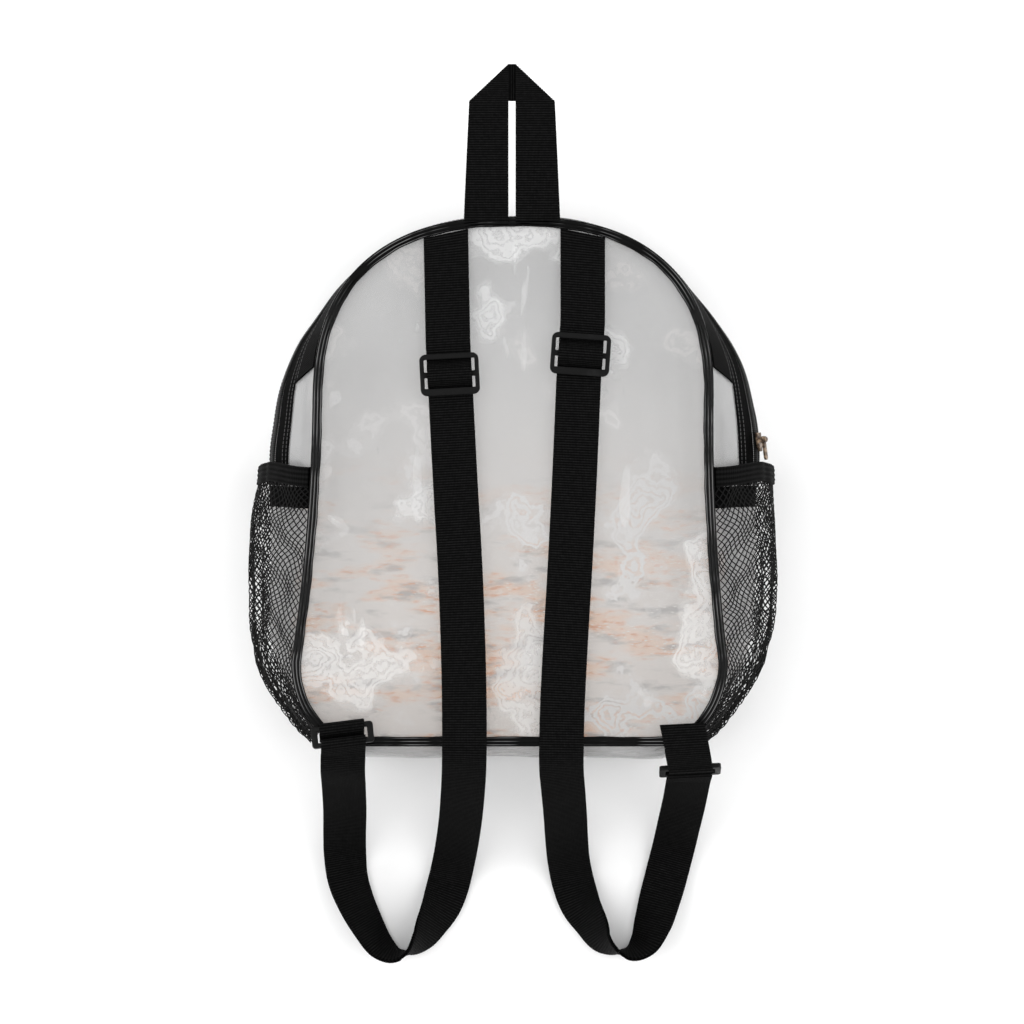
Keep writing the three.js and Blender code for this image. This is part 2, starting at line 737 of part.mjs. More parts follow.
// The line midway between a strap's two layers, from its slider to its ring, sampled with the
// direction of the webbing's width and of its outer face.
function strapMiddle(strap) {
  const { centre, upward } = sliderFrame(strap);
  const { lower } = ringFrame(strap);
  const x = (row) => strap.side * row.across * hipHalf;
  const panelLevel = strapLow - layerPitch / 2;
  const start = centre.clone().addScaledVector(upward, -sliderFrameHeight * layersStart);
  start.z = panelLevel;
  const runLength = start.y + halfHeight;
  const rows = [
    { at: start, roll: 0 },
    ...strap.run.map((row) => ({
      at: point(x(row), start.y - row.along * runLength, panelLevel),
      roll: 0,
    })),
    ...strap.loop.map((row) => ({
      at: point(
        x(row),
        -halfHeight - row.out * loopReach,
        row.lift > 1.01 ? panelLevel : Math.max(restingHeight(row.roll), row.lift * depth),
      ),
      roll: row.roll,
    })),
  ];
  const last = rows[rows.length - 1].at;
  const approach = lower.clone().sub(last).normalize();
  rows.push({ at: lower.clone().addScaledVector(approach, -10), roll: 180 });
  const line = new THREE.CatmullRomCurve3(rows.map((row) => row.at), false, "centripetal");
  const steps = 2 * (rows.length - 1);
  const samples = [];
  for (let i = 0; i <= steps; i++) {
    const t = i / steps;
    const row = t * (rows.length - 1);
    const k = Math.min(Math.floor(row), rows.length - 2);
    const turn = THREE.MathUtils.lerp(rows[k].roll, rows[k + 1].roll, row - k);
    const roll = radians(-strap.side * turn);
    const along = line.getTangent(t);
    const across = along.clone().cross(up).normalize();
    const rise = across.clone().cross(along).normalize();
    const wide = across.clone().multiplyScalar(Math.cos(roll));
    wide.addScaledVector(rise, Math.sin(roll));
    const at = line.getPoint(t);
    at.z = Math.max(at.z, restingHeight(turn) + 0.15);
    samples.push({ at, wide, face: wide.clone().cross(along).normalize() });
  }
  return { samples, approach };
}

// A shoulder strap is one length of webbing: from the top seam through the slider, down over
// the pack's edge, round the loop to the ring, back beside itself and round the slider's bar.
function shoulderStrap(strap) {
  const { centre, wide, upward } = sliderFrame(strap);
  const { lower, bar } = ringFrame(strap);
  const { samples, approach } = strapMiddle(strap);
  const flatWide = wide.clone().negate();
  const byFrame = (along, z) => ({
    at: centre.clone().addScaledVector(upward, along).setZ(z),
    wide: flatWide,
  });
  const slot = sliderCentreBar / 2 + 1.3 * gap + webThickness / 2;
  const round = 0.5;
  const dip = sliderFrameHeight * weaveDip;
  const crest = sliderFrameHeight * weaveCrest;
  const seamX = strap.side * strap.seamAcross * hipHalf;
  const [seamRight, seamLeft] = [seamX + webWidth / 2, seamX - webWidth / 2].map(archHeightAt);
  const seamSlope = (seamRight - seamLeft) / webWidth;
  const seamPlace = point(
    seamX,
    (seamRight + seamLeft) / 2 - (bindingTop * 1.1 + gap) * Math.hypot(1, seamSlope),
    depth + 2 * gap + webThickness / 2,
  );
  const exit = byFrame(sliderFrameHeight * weaveExit, strapLow);
  const between = (t) => ({ at: seamPlace.clone().lerp(exit.at, t), wide: flatWide });
  const weave = [
    exit,
    byFrame(dip, strapLow),
    byFrame(crest, strapHigh),
    byFrame(-crest, strapHigh),
    byFrame(-dip, strapLow),
  ];
  const half = layerPitch / 2;
  const beside = (sign) =>
    samples.map((s) => ({
      at: s.at.clone().addScaledVector(s.face, sign * half),
      wide: s.wide,
      turned: sign < 0,
    }));
  const atRing = samples[samples.length - 1];
  const ringWide = atRing.wide.dot(bar) > 0 ? bar.clone() : bar.clone().negate();
  const outer = ringWide.clone().cross(approach).normalize();
  const nearRing = (back, spread, turned) => ({
    at: lower.clone().addScaledVector(approach, -back).addScaledVector(outer, spread),
    wide: ringWide,
    turned,
  });
  const roundBar = [0, 45, 90, 135, 180].map((degrees) => ({
    at: lower
      .clone()
      .addScaledVector(outer, barWrap * Math.cos(radians(degrees)))
      .addScaledVector(approach, barWrap * Math.sin(radians(degrees))),
    wide: ringWide,
    turned: true,
  }));
  const flare = (half + barWrap) / 2 + 0.4;
  const under = strapLow - layerPitch;
  const barEnd = [
    byFrame(-dip, under),
    byFrame(-slot, under),
    byFrame(slot * 0.4, under + 0.1),
    byFrame(slot, under + 1.4),
    byFrame(slot, wrapTop - round),
    byFrame(slot - round, wrapTop),
    byFrame(round - slot, wrapTop),
    byFrame(-slot, wrapTop - round),
    byFrame(-slot, frameTop - 1.2),
  ];
  return ribbon([
    { at: seamPlace, wide: point(-1, -seamSlope, 0) },
    between(0.5),
    ...weave,
    ...beside(1),
    nearRing(5, flare, false),
    ...roundBar,
    nearRing(5, -flare, true),
    ...beside(-1).reverse(),
    ...barEnd,
  ]);
}

// A rounded frame with rectangular openings, in its own plane.
function openFrame(width, height, corner, thickness, openings) {
  const shape = new THREE.Shape();
  const [x, y] = [width / 2, height / 2];
  const quarter = Math.PI / 2;
  shape.absarc(x - corner, y - corner, corner, 0, quarter);
  shape.absarc(corner - x, y - corner, corner, quarter, 2 * quarter);
  shape.absarc(corner - x, corner - y, corner, 2 * quarter, 3 * quarter);
  shape.absarc(x - corner, corner - y, corner, 3 * quarter, 4 * quarter);
  for (const { low, high, side } of openings) {
    const hole = new THREE.Path();
    const inner = x - side;
    hole.moveTo(-inner, low).lineTo(-inner, high).lineTo(inner, high).lineTo(inner, low);
    hole.closePath();
    shape.holes.push(hole);
  }
  const options = { depth: thickness, bevelEnabled: false, curveSegments: 4 };
  return new THREE.ExtrudeGeometry(shape, options).translate(0, 0, -thickness / 2);
}

function placed(geometry, centre, wide, upward) {
  const normal = wide.clone().cross(upward);
  const matrix = new THREE.Matrix4().makeBasis(wide, upward, normal).setPosition(centre);
  return geometry.applyMatrix4(matrix);
}

function strapSlider(strap) {
  const { centre, wide, upward } = sliderFrame(strap);
  const half = sliderFrameHeight / 2;
  const bar = sliderCentreBar / 2;
  const frame = openFrame(sliderFrameWidth, sliderFrameHeight, sliderCorner, sliderFrameDepth, [
    { low: bar, high: half - sliderTopBar, side: sliderSideBar },
    { low: sliderBottomBar - half, high: -bar, side: sliderSideBar },
  ]);
  return placed(frame, centre.clone().setZ((frameBottom + frameTop) / 2), wide, upward);
}

function strapRing(strap) {
  const { lower, upper, bar, rise } = ringFrame(strap);
  const reach = (ringPitch - ringBar) / 2;
  const opening = { low: -reach, high: reach, side: (ringWidth - ringOpening) / 2 };
  const frame = openFrame(ringWidth, ringPitch + ringBar, ringCorner, ringBar, [opening]);
  return placed(frame, lower.clone().lerp(upper, 0.5), bar, rise);
}

// A short length of webbing from the corner seam round the ring's upper bar and back.
function lowerTab(strap) {
  const { upper, bar } = ringFrame(strap);
  const { length, lean, over, under } = strap.tab;
  const angle = radians(lean);
  const inward = point(-strap.side * Math.sin(angle), Math.cos(angle), 0);
  const wide = bar.clone().negate();
  const crown = bindingCrown + gap + webThickness / 2;
  const layer = (rows, base) =>
    rows.map(({ back, rise }) => ({
      at: upper
        .clone()
        .addScaledVector(inward, back * length)
        .setZ(THREE.MathUtils.lerp(base, crown, rise)),
      wide,
    }));
  const round = [0, 40, 80, 120, 160].map((degrees) => ({
    at: upper
      .clone()
      .addScaledVector(inward, -barWrap * Math.sin(radians(degrees)))
      .addScaledVector(up, barWrap * Math.cos(radians(degrees))),
    wide,
  }));
  return ribbon([
    ...layer(over, upper.z + barWrap),
    ...round,
    ...layer(under, upper.z - barWrap),
  ]);
}

function makeStraps() {
  for (const strap of straps) {
    addPiece("shoulder_strap_" + strap.name, shoulderStrap(strap), webBlack);
    addPiece("strap_slider_" + strap.name, strapSlider(strap), mouldedBlack);
    addPiece("strap_ring_" + strap.name, strapRing(strap), mouldedBlack);
    addPiece("lower_tab_" + strap.name, lowerTab(strap), webBlack);
  }
}

// The handle's webbing goes up one leg, folds behind itself across the top and comes down
// the other leg; the legs droop with the square of the way, and the folded top lies in one plane.
function makeHandle() {
  const half = webThickness / 2;
  const inner = handleSlot / 2;
  const outer = inner + handleTopWidth;
  const base = point(0, halfHeight - handleInset, bindingCrown + gap + half);
  const legSteps = 5;
  const leg = (side) => {
    const stations = stepsBetween(0, 1, legSteps).map((t) => {
      const width = THREE.MathUtils.lerp(webWidth, handleTopWidth, t);
      const x = side * (inner + width / 2);
      return {
        at: point(x, base.y + handleLeg * t, base.z - handleDroop * t * t),
        wide: point(-width / webWidth, 0, 0),
      };
    });
    return ribbon(stations);
  };
  const slope = Math.atan((2 * handleDroop) / handleLeg);
  const onTop = (geometry) =>
    placed(
      geometry,
      point(0, base.y + handleLeg, base.z - handleDroop),
      point(1, 0, 0),
      point(0, Math.cos(slope), -Math.sin(slope)),
    );
  const under = -half - layerGap;
  const overlap = 1.5;
  const crease = webThickness * 1.5;
  const pieces = [leg(-1), leg(1)];
  for (const side of [-1, 1]) {
    const front = [
      [side * outer, -overlap],
      [side * outer, 0],
      [side * inner, handleTopWidth],
      [side * inner, -overlap],
    ];
    const fold = [
      [side * outer, 0],
      [side * inner, handleTopWidth],
      [side * inner, handleTopWidth - crease],
      [side * (outer - crease), 0],
    ];
    pieces.push(onTop(slab(front, -half, half)), onTop(slab(fold, under - webThickness, half)));
  }
  const lowEdge = handleTopWidth - webWidth;
  const behind = [
    [-outer - lowEdge, lowEdge],
    [outer + lowEdge, lowEdge],
    [outer, 0],
    [inner, handleTopWidth],
    [-inner, handleTopWidth],
    [-outer, 0],
  ];
  pieces.push(onTop(slab(behind, under - webThickness, under)));
  addPiece("handle", joined(pieces), webBlack);
}

// The zip's slider stands outside the coil, in a frame whose x runs down the zip, y across it
// and z outwards. Two ears hold the pin that the pull tab's eye turns on.
function makeSlider() {
  const turn = turnAtHeight(sliderAlong);
  const at = (place, lift) => sideSection(() => place, [zipHeight], gussetOut, lift, lift).front[0];
  const coilTop = coilThickness - tapeThickness;
  const seat = at(turn, coilTop + gap);
  const down = at(turn + 0.01, 0).sub(at(turn - 0.01, 0)).normalize();
  const outward = at(turn, 1).sub(at(turn, 0)).normalize();
  const across = outward.clone().cross(down).normalize();
  const frame = new THREE.Group();
  frame.applyMatrix4(
    new THREE.Matrix4().makeBasis(down, across, down.clone().cross(across)).setPosition(seat),
  );
  pack.add(frame);

  const eyeRadius = pinRadius + gap + eyeWall;
  const pinHeight = sliderPlate + eyeRadius + gap;
  const pinAlong = -sliderLength * 0.1;
  const nose = sliderLength * 0.3;
  const body = slab(
    [
      [-sliderLength / 2, -sliderWidth / 2],
      [sliderLength / 2 - nose, -sliderWidth / 2],
      [sliderLength / 2, -sliderWidth / 4],
      [sliderLength / 2, sliderWidth / 4],
      [sliderLength / 2 - nose, sliderWidth / 2],
      [-sliderLength / 2, sliderWidth / 2],
    ],
    0,
    sliderPlate,
  );
  const earInside = pullWidth / 2 + gap;
  const ear = (side) => {
    const geometry = new THREE.BoxGeometry(earLength, earThickness, pinHeight + pinRadius);
    const y = side * (earInside + earThickness / 2);
    return geometry.translate(pinAlong, y, (pinHeight + pinRadius) / 2 + 0.2);
  };
  const pinLength = 2 * earInside + earThickness;
  const pin = new THREE.CylinderGeometry(pinRadius, pinRadius, pinLength, 10);
  pin.translate(pinAlong, 0, pinHeight);
  const crown = [body, ear(-1), ear(1), pin];
  addPiece("zip_slider", joined(crown), oldBrass, frame);

  const eye = new THREE.Shape();
  eye.absarc(0, 0, eyeRadius, 0, 2 * Math.PI);
  const bore = new THREE.Path();
  bore.absarc(0, 0, (pinRadius + gap) / Math.cos(Math.PI / 16), 0, 2 * Math.PI);
  eye.holes.push(bore);
  const ringOptions = { depth: pullWidth, bevelEnabled: false, curveSegments: 8 };
  const loop = new THREE.ExtrudeGeometry(eye, ringOptions);
  loop.translate(0, 0, -pullWidth / 2).rotateX(Math.PI / 2);
  const tabStart = pinRadius + gap + eyeWall / 2;
  const tip = pullWidth * 0.3;
  const tab = slab(
    [
      [tabStart, -pullWidth / 2],
      [pullLength - tip, -pullWidth / 2],
      [pullLength, -pullWidth / 2 + tip],
      [pullLength, pullWidth / 2 - tip],
      [pullLength - tip, pullWidth / 2],
      [tabStart, pullWidth / 2],
    ],
    -pullThickness / 2,
    pullThickness / 2,
  );
  const pull = joined([loop, tab]);
  pull.translate(pinAlong, 0, pinHeight);
  addPiece("zip_pull_tab", pull, oldBrass, frame);
}

makePanels();
makeBindings();
makeGussets();
makeZip();
makeTopBand();
makePockets();
makeStraps();
makeHandle();
makeSlider();

export default pack;
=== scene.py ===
"""A clear stadium backpack that lies on its front panel, with its straps over its back panel.

Lengths are in millimetres until a mesh is made, and meshes are in metres. +X runs across the pack,
+Y up to its handle and +Z away from the surface that it lies on. The origin is the middle of the
front panel's outer face.
"""

import bmesh
import bpy
import numpy as np
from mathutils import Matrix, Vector


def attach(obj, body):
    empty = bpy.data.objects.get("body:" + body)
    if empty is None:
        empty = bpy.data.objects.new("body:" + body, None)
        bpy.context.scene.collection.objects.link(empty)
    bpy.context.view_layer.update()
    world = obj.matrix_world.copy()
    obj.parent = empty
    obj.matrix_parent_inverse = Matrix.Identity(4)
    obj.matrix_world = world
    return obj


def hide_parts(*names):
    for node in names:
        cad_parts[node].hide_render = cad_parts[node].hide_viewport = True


MM = 0.001

# Clearance between pieces
GAP = 0.3

# Body: the back panel's outline, and how far the front panel lies below it
DEPTH = 108
HALF_HEIGHT = 165.5
SHOULDER_HALF = 125.3
SHOULDER_HEIGHT = 50
ARCH_POWER = 2.47
HIP_HALF = 136.5
CORNER_WIDTH = 41
CORNER_HEIGHT = 53
LEAN = 2.2
SIDE_BULGE = 26.3
BULGE_SKEW = 0.06
FRONT_FLARE = 14
PANEL_SAG = 3
FILM = 0.8

# Binding over the two seams
BINDING_THICKNESS = 1
BINDING_TOP = 6
BINDING_LEG = 5
RIDGE_PITCH = 2.1
RIDGE_START = 1
RIDGE_RISE = 0.34

# Zip
ZIP_HEIGHT = 66
COIL_WIDTH = 6
TAPE_RISE = 15
TAPE_THICKNESS = 1.2
ZIP_END_HEIGHT = -3
PATCH_WIDTH = 14
PATCH_THICKNESS = 1.6

# Reinforcing band over the arch
BAND_THICKNESS = 1.4
BAND_END_HEIGHT = 62
BAND_SLANT = 10

# Side pockets
POCKET_REACH = 41
ELASTIC_TOP = 9
ELASTIC_WIDTH = 12.5
ELASTIC_THICKNESS = 2
POCKET_FOOT = 9
MOUTH_BOW = 3
NET_CELL = 4
NET_THREAD = 0.85

# Webbing
WEB_WIDTH = 28
WEB_THICKNESS = 1.3
LAYER_GAP = 0.4
RIB_PITCH = 1.6
RIB_RISE = 0.16

# Handle
HANDLE_LEG = 77.5
HANDLE_INSET = 3
HANDLE_TOP_WIDTH = 24.8
HANDLE_SLOT = 4.4
HANDLE_DROOP = 14

# Strap sliders and lower rings
SLIDER_HEIGHT = 26
SLIDER_DEPTH = 2.6
SLIDER_CENTRE_BAR = 3.5
WEAVE_EXIT = 0.8
WEAVE_DIP = 0.325
WEAVE_CREST = 0.125
LAYERS_START = 0.62
RING_BAR = 3
RING_PITCH = 10.4

# Straps: how far the loops reach past the bottom edge
LOOP_REACH = 150

# Heights that follow from the sizes above
SEAM = BINDING_THICKNESS + GAP
BINDING_CROWN = DEPTH + GAP + BINDING_THICKNESS
GUSSET_HEAD = DEPTH - BINDING_LEG - 2 * GAP
GUSSET_FOOT = BINDING_LEG + 2 * GAP
GUSSET_TOP = DEPTH - 1.2 - GAP
GUSSET_BOTTOM = SEAM + 1.2 + GAP
TAPE_FOOT = ZIP_HEIGHT + COIL_WIDTH / 2 + GAP
TAPE_HEAD = ZIP_HEIGHT - COIL_WIDTH / 2 - GAP
LAYER_PITCH = WEB_THICKNESS + LAYER_GAP
STRAP_LOW = BINDING_CROWN + GAP + WEB_THICKNESS / 2 + LAYER_PITCH
FRAME_BOTTOM = STRAP_LOW + WEB_THICKNESS / 2 + GAP
FRAME_TOP = FRAME_BOTTOM + SLIDER_DEPTH
WRAP_TOP = FRAME_TOP + GAP + WEB_THICKNESS / 2
STRAP_HIGH = WRAP_TOP + WEB_THICKNESS + GAP
BAR_WRAP = RING_BAR * 2**0.5 / 2 + 1.5 * GAP + WEB_THICKNESS / 2

# Gusset form by height, as shares of HALF_HEIGHT, SIDE_BULGE and FRONT_FLARE
SIDE_HEIGHT = [-1, -0.96, -0.85, -0.74, -0.65, -0.3, -0.05, 0.13, 0.36, 0.51, 0.61, 0.74, 1]
SIDE_BULGES = [0.34, 0.1, 0.1, 0.3, 0.5, 0.78, 0.92, 1, 0.79, 0.48, 0.24, 0.06, 0.06]
SIDE_FLARES = [0.57, 0.57, 0.64, 0.77, 0.85, 1, 1, 1, 0.93, 0.82, 0.72, 0.6, 0.57]

# Pocket form by height, as shares of HALF_HEIGHT and POCKET_REACH, on either side
POCKET_HEIGHT = [-0.94, -0.85, -0.74, -0.65, -0.46, -0.26, -0.08, 0]
POCKET_LEFT = [0.25, 0.31, 0.5, 0.66, 0.8, 0.9, 0.88, 0.82]
POCKET_RIGHT = [0.25, 0.31, 0.5, 0.7, 0.88, 0.95, 0.95, 0.95]

# Strap routes. A run row is (across, along), a loop row (across, out, lift, roll): across is a share
# of HIP_HALF, along goes from the slider to the bottom edge, out is a share of LOOP_REACH past that
# edge, lift a share of DEPTH and roll in degrees. A ring's crown is its lower bar's height above
# the binding as a share of BAR_WRAP. A tab row is (back, rise).
STRAPS = {
    "left": {
        "side": -1,
        "seam_across": 0.303,
        "slider": {"across": 0.285, "up": 0.404, "lean": 3},
        "run": [(0.258, 0.25), (0.236, 0.5), (0.222, 0.75), (0.218, 0.9)],
        "loop": [
            (0.218, 0.02, 1.03, 0), (0.219, 0.058, 1.0, 0), (0.221, 0.11, 0.93, 0),
            (0.228, 0.202, 0.78, 0), (0.241, 0.326, 0.54, 0), (0.259, 0.444, 0.3, 0),
            (0.281, 0.556, 0.11, 0), (0.307, 0.66, 0.03, 6), (0.34, 0.75, 0, 22),
            (0.383, 0.826, 0, 40), (0.431, 0.9, 0, 57), (0.494, 0.955, 0, 78),
            (0.565, 0.966, 0, 100), (0.632, 0.93, 0, 118), (0.7, 0.835, 0, 131),
            (0.757, 0.733, 0, 142), (0.795, 0.635, 0.04, 154), (0.806, 0.525, 0.11, 167),
            (0.802, 0.43, 0.24, 177), (0.792, 0.311, 0.44, 180), (0.784, 0.188, 0.72, 180),
            (0.778, 0.1, 0.95, 180),
        ],
        "ring": {"across": 0.769, "out": -0.018, "crown": 2.38, "tilt": -19, "swing": 7},
        "tab": {
            "length": 8,
            "lean": 180,
            "over": [(1, 0.72), (0.7, 0.6), (0.4, 0.12)],
            "under": [(0.4, 0), (1, 0)],
        },
    },
    "right": {
        "side": 1,
        "seam_across": 0.324,
        "slider": {"across": 0.313, "up": 0.479, "lean": -4},
        "run": [(0.287, 0.25), (0.266, 0.5), (0.242, 0.75), (0.23, 0.9)],
        "loop": [
            (0.226, 0.02, 1.03, 0), (0.226, 0.058, 1.0, 0), (0.228, 0.11, 0.93, 0),
            (0.238, 0.202, 0.78, 0), (0.251, 0.326, 0.54, 0), (0.261, 0.444, 0.3, 0),
            (0.274, 0.556, 0.11, 0), (0.297, 0.66, 0.03, 6), (0.331, 0.75, 0, 20),
            (0.379, 0.826, 0, 38), (0.433, 0.91, 0, 57), (0.504, 0.953, 0, 78),
            (0.575, 0.958, 0, 100), (0.638, 0.918, 0, 122), (0.681, 0.832, 0, 143),
            (0.714, 0.733, 0, 157), (0.75, 0.62, 0.03, 169), (0.782, 0.492, 0.1, 177),
            (0.8, 0.376, 0.28, 180), (0.814, 0.276, 0.46, 180),
        ],
        "ring": {"across": 0.824, "out": 0.125, "crown": -6.8, "tilt": 64, "swing": 3},
        "tab": {
            "length": 29,
            "lean": 12,
            "over": [(1, 1), (0.75, 1.02), (0.5, 1), (0.3, 0.7)],
            "under": [(0.24, 0.05), (0.42, 0.53)],
        },
    },
}

UP = np.array([0.0, 0.0, 1.0])


# Small helpers on arrays


def unit(vectors):
    """Vectors divided by their own lengths."""
    return vectors / np.linalg.norm(vectors, axis=-1, keepdims=True)


def stacked(x, y, z):
    """Three coordinates of any broadcast shapes as one array of points."""
    return np.stack(np.broadcast_arrays(x, y, z), -1).astype(float)


def eased(x, xs, ys):
    """A column read between its rows: a cubic on each stretch, with the slope at a row the slope
    between its neighbours."""
    xs, ys = np.asarray(xs, float), np.asarray(ys, float)
    slopes = np.gradient(ys, xs)
    x = np.clip(x, xs[0], xs[-1])
    k = np.clip(np.searchsorted(xs, x) - 1, 0, len(xs) - 2)
    step = xs[k + 1] - xs[k]
    t = (x - xs[k]) / step
    start = (1 + 2 * t) * (1 - t) ** 2 * ys[k] + t * (1 - t) ** 2 * step * slopes[k]
    end = t * t * (3 - 2 * t) * ys[k + 1] + t * t * (t - 1) * step * slopes[k + 1]
    return start + end


def curve_through(points, at):
    """A centripetal Catmull-Rom curve, read at fractions of its point numbers: each stretch is a
    cubic whose end slopes weigh the neighbouring steps by the square roots of their lengths."""
    padded = np.vstack([2 * points[0] - points[1], points, 2 * points[-1] - points[-2]])
    step = np.sqrt(np.linalg.norm(np.diff(padded, axis=0), axis=1))[:, None]
    pace = np.diff(padded, axis=0) / step
    slope = pace[:-1] + pace[1:] - (padded[2:] - padded[:-2]) / (step[:-1] + step[1:])
    k = np.minimum(at.astype(int), len(points) - 2)
    t = (at - k)[:, None]
    wide = step[k + 1]
    start = (1 + 2 * t) * (1 - t) ** 2 * points[k] + t * (1 - t) ** 2 * wide * slope[k]
    end = t * t * (3 - 2 * t) * points[k + 1] + t * t * (t - 1) * wide * slope[k + 1]
    return start + end


def lengths_along(points):
    """Distance from the first point to each, along the line through them."""
    return np.concatenate([[0], np.cumsum(np.linalg.norm(np.diff(points, axis=0), axis=-1))])


def read_at(where, at, rows):
    """Rows of vectors that stand at places along a line, read between them in straight steps."""
    return np.stack([np.interp(where, at, column) for column in rows.T], 1)


# The outline and the surfaces that stand on it


def outline_table():
    """The right half of the outline from the middle of its top: a superellipse arch, a side that
    widens with the square of the way down, an elliptical corner and a straight bottom. Columns are
    x, y, the outward normal's two parts and the share of the whole length."""
    quarter = np.linspace(0, np.pi / 2, 90)
    arch = stacked(
        SHOULDER_HALF * np.sin(quarter) ** (2 / ARCH_POWER),
        SHOULDER_HEIGHT + (HALF_HEIGHT - SHOULDER_HEIGHT) * np.cos(quarter) ** (2 / ARCH_POWER),
        0,
    )
    down = np.linspace(0, 1, 60)[1:]
    hip = CORNER_HEIGHT - HALF_HEIGHT
    side = stacked(
        SHOULDER_HALF + (HIP_HALF - SHOULDER_HALF) * down**2,
        SHOULDER_HEIGHT + (hip - SHOULDER_HEIGHT) * down,
        0,
    )
    turn = quarter[2::2]
    corner = stacked(
        HIP_HALF - CORNER_WIDTH * (1 - np.cos(turn)), hip - CORNER_HEIGHT * np.sin(turn), 0
    )
    bottom = stacked((HIP_HALF - CORNER_WIDTH) * (1 - down[3::4]), -HALF_HEIGHT, 0)
    points = np.vstack([arch, side, corner, bottom])
    length = lengths_along(points)
    slope = np.gradient(points[:, :2], length, axis=0)
    normal = unit(np.stack([-slope[:, 1], slope[:, 0]], 1))
    return points[:, 0], points[:, 1], normal[:, 0], normal[:, 1], length / length[-1], length[-1]


EDGE_X, EDGE_Y, EDGE_NX, EDGE_NY, EDGE_SHARE, HALF_LENGTH = outline_table()


def edge_at(turn):
    """Place and normal on the outline. turn is 0 at the top, 1 at the bottom by way of the right
    side, and negative on the left side."""
    signed = (np.asarray(turn, float) + 1) % 2 - 1
    side, share = np.where(signed < 0, -1.0, 1.0), np.abs(signed)
    x, y, nx, ny = (
        np.interp(share, EDGE_SHARE, column) for column in (EDGE_X, EDGE_Y, EDGE_NX, EDGE_NY)
    )
    return side * x + LEAN * y / HALF_HEIGHT, y, side * nx, ny


def turn_at_height(y):
    """The right side's turn at a height up the pack."""
    return float(np.interp(-y, -EDGE_Y, EDGE_SHARE))


def outside(turn, out, z):
    """Points a distance outside the outline, at a height above the surface."""
    x, y, nx, ny = edge_at(turn)
    return stacked(x + nx * out, y + ny * out, z)


def flare_at(turn):
    """How far the front panel's edge lies outside the outline."""
    return FRONT_FLARE * eased(edge_at(turn)[1] / HALF_HEIGHT, SIDE_HEIGHT, SIDE_FLARES)


def gusset_out(turn, z):
    """The gusset's outer face: the flare fades upwards, a parabola bulges the film between its
    seams, a little more on the right, and crossed sines dent it."""
    x, y, _, _ = edge_at(turn)
    bulge = SIDE_BULGE * eased(y / HALF_HEIGHT, SIDE_HEIGHT, SIDE_BULGES)
    bulge = bulge * (1 + BULGE_SKEW * x / HIP_HALF)
    w = np.clip((z - GUSSET_FOOT) / (GUSSET_HEAD - GUSSET_FOOT), 0, 1)
    along = np.asarray(turn) * HALF_LENGTH
    dents = np.sin(along / 23 + 2 * w) + 0.6 * np.sin(along / 11 - 3 * w + 1)
    dents = dents + 0.3 * np.sin(along / 5.3)
    return flare_at(turn) * (1 - w) + (bulge + 0.5 * dents) * 4 * w * (1 - w) - SEAM


def pocket_out(turn, z):
    """The pocket's inner face: a rounded bulge between the two bindings, with soft folds that run
    up the pocket and deepen towards its foot."""
    low, high = BINDING_LEG / 2, DEPTH - BINDING_LEG / 2
    w = np.clip((z - low) / (high - low), 0, 1)
    x, y, _, _ = edge_at(turn)
    height = y / HALF_HEIGHT
    flare = flare_at(turn)
    left, right = (eased(height, POCKET_HEIGHT, reach) for reach in (POCKET_LEFT, POCKET_RIGHT))
    bulge = POCKET_REACH * np.where(x < 0, left, right) - 0.4 * flare
    folds = np.sin(34 * w + 4 * height) + 0.6 * np.sin(61 * w - 9 * height)
    depth = 0.4 + 1.5 * np.clip(-height, 0, 1)
    round_off = (4 * w * (1 - w)) ** 0.7
    return flare * (1 - w) + GAP + bulge * round_off + depth * folds * round_off


# Meshes


def mesh_from(name, points, faces, uv, crease=40):
    """A mesh from points in millimetres and lists of index arrays of one size each, with their
    UVs in millimetres, shaded smooth up to the crease angle."""
    mesh = bpy.data.meshes.new(name)
    mesh.vertices.add(len(points))
    mesh.vertices.foreach_set("co", (points * MM).astype(np.float32).ravel())
    corners = np.concatenate([f.ravel() for f in faces])
    totals = np.concatenate([np.full(len(f), f.shape[1]) for f in faces])
    mesh.loops.add(len(corners))
    mesh.loops.foreach_set("vertex_index", corners.astype(np.int32))
    mesh.polygons.add(len(totals))
    mesh.polygons.foreach_set("loop_start", (np.cumsum(totals) - totals).astype(np.int32))
    layer = mesh.uv_layers.new(name="Cloth")
    mesh.update(calc_edges=True)
    spread = np.concatenate([u.reshape(-1, 2) for u in uv])
    layer.data.foreach_set("uv", spread.astype(np.float32).ravel())
    mesh.shade_smooth()
    mesh.set_sharp_from_angle(angle=np.radians(crease))
    return mesh


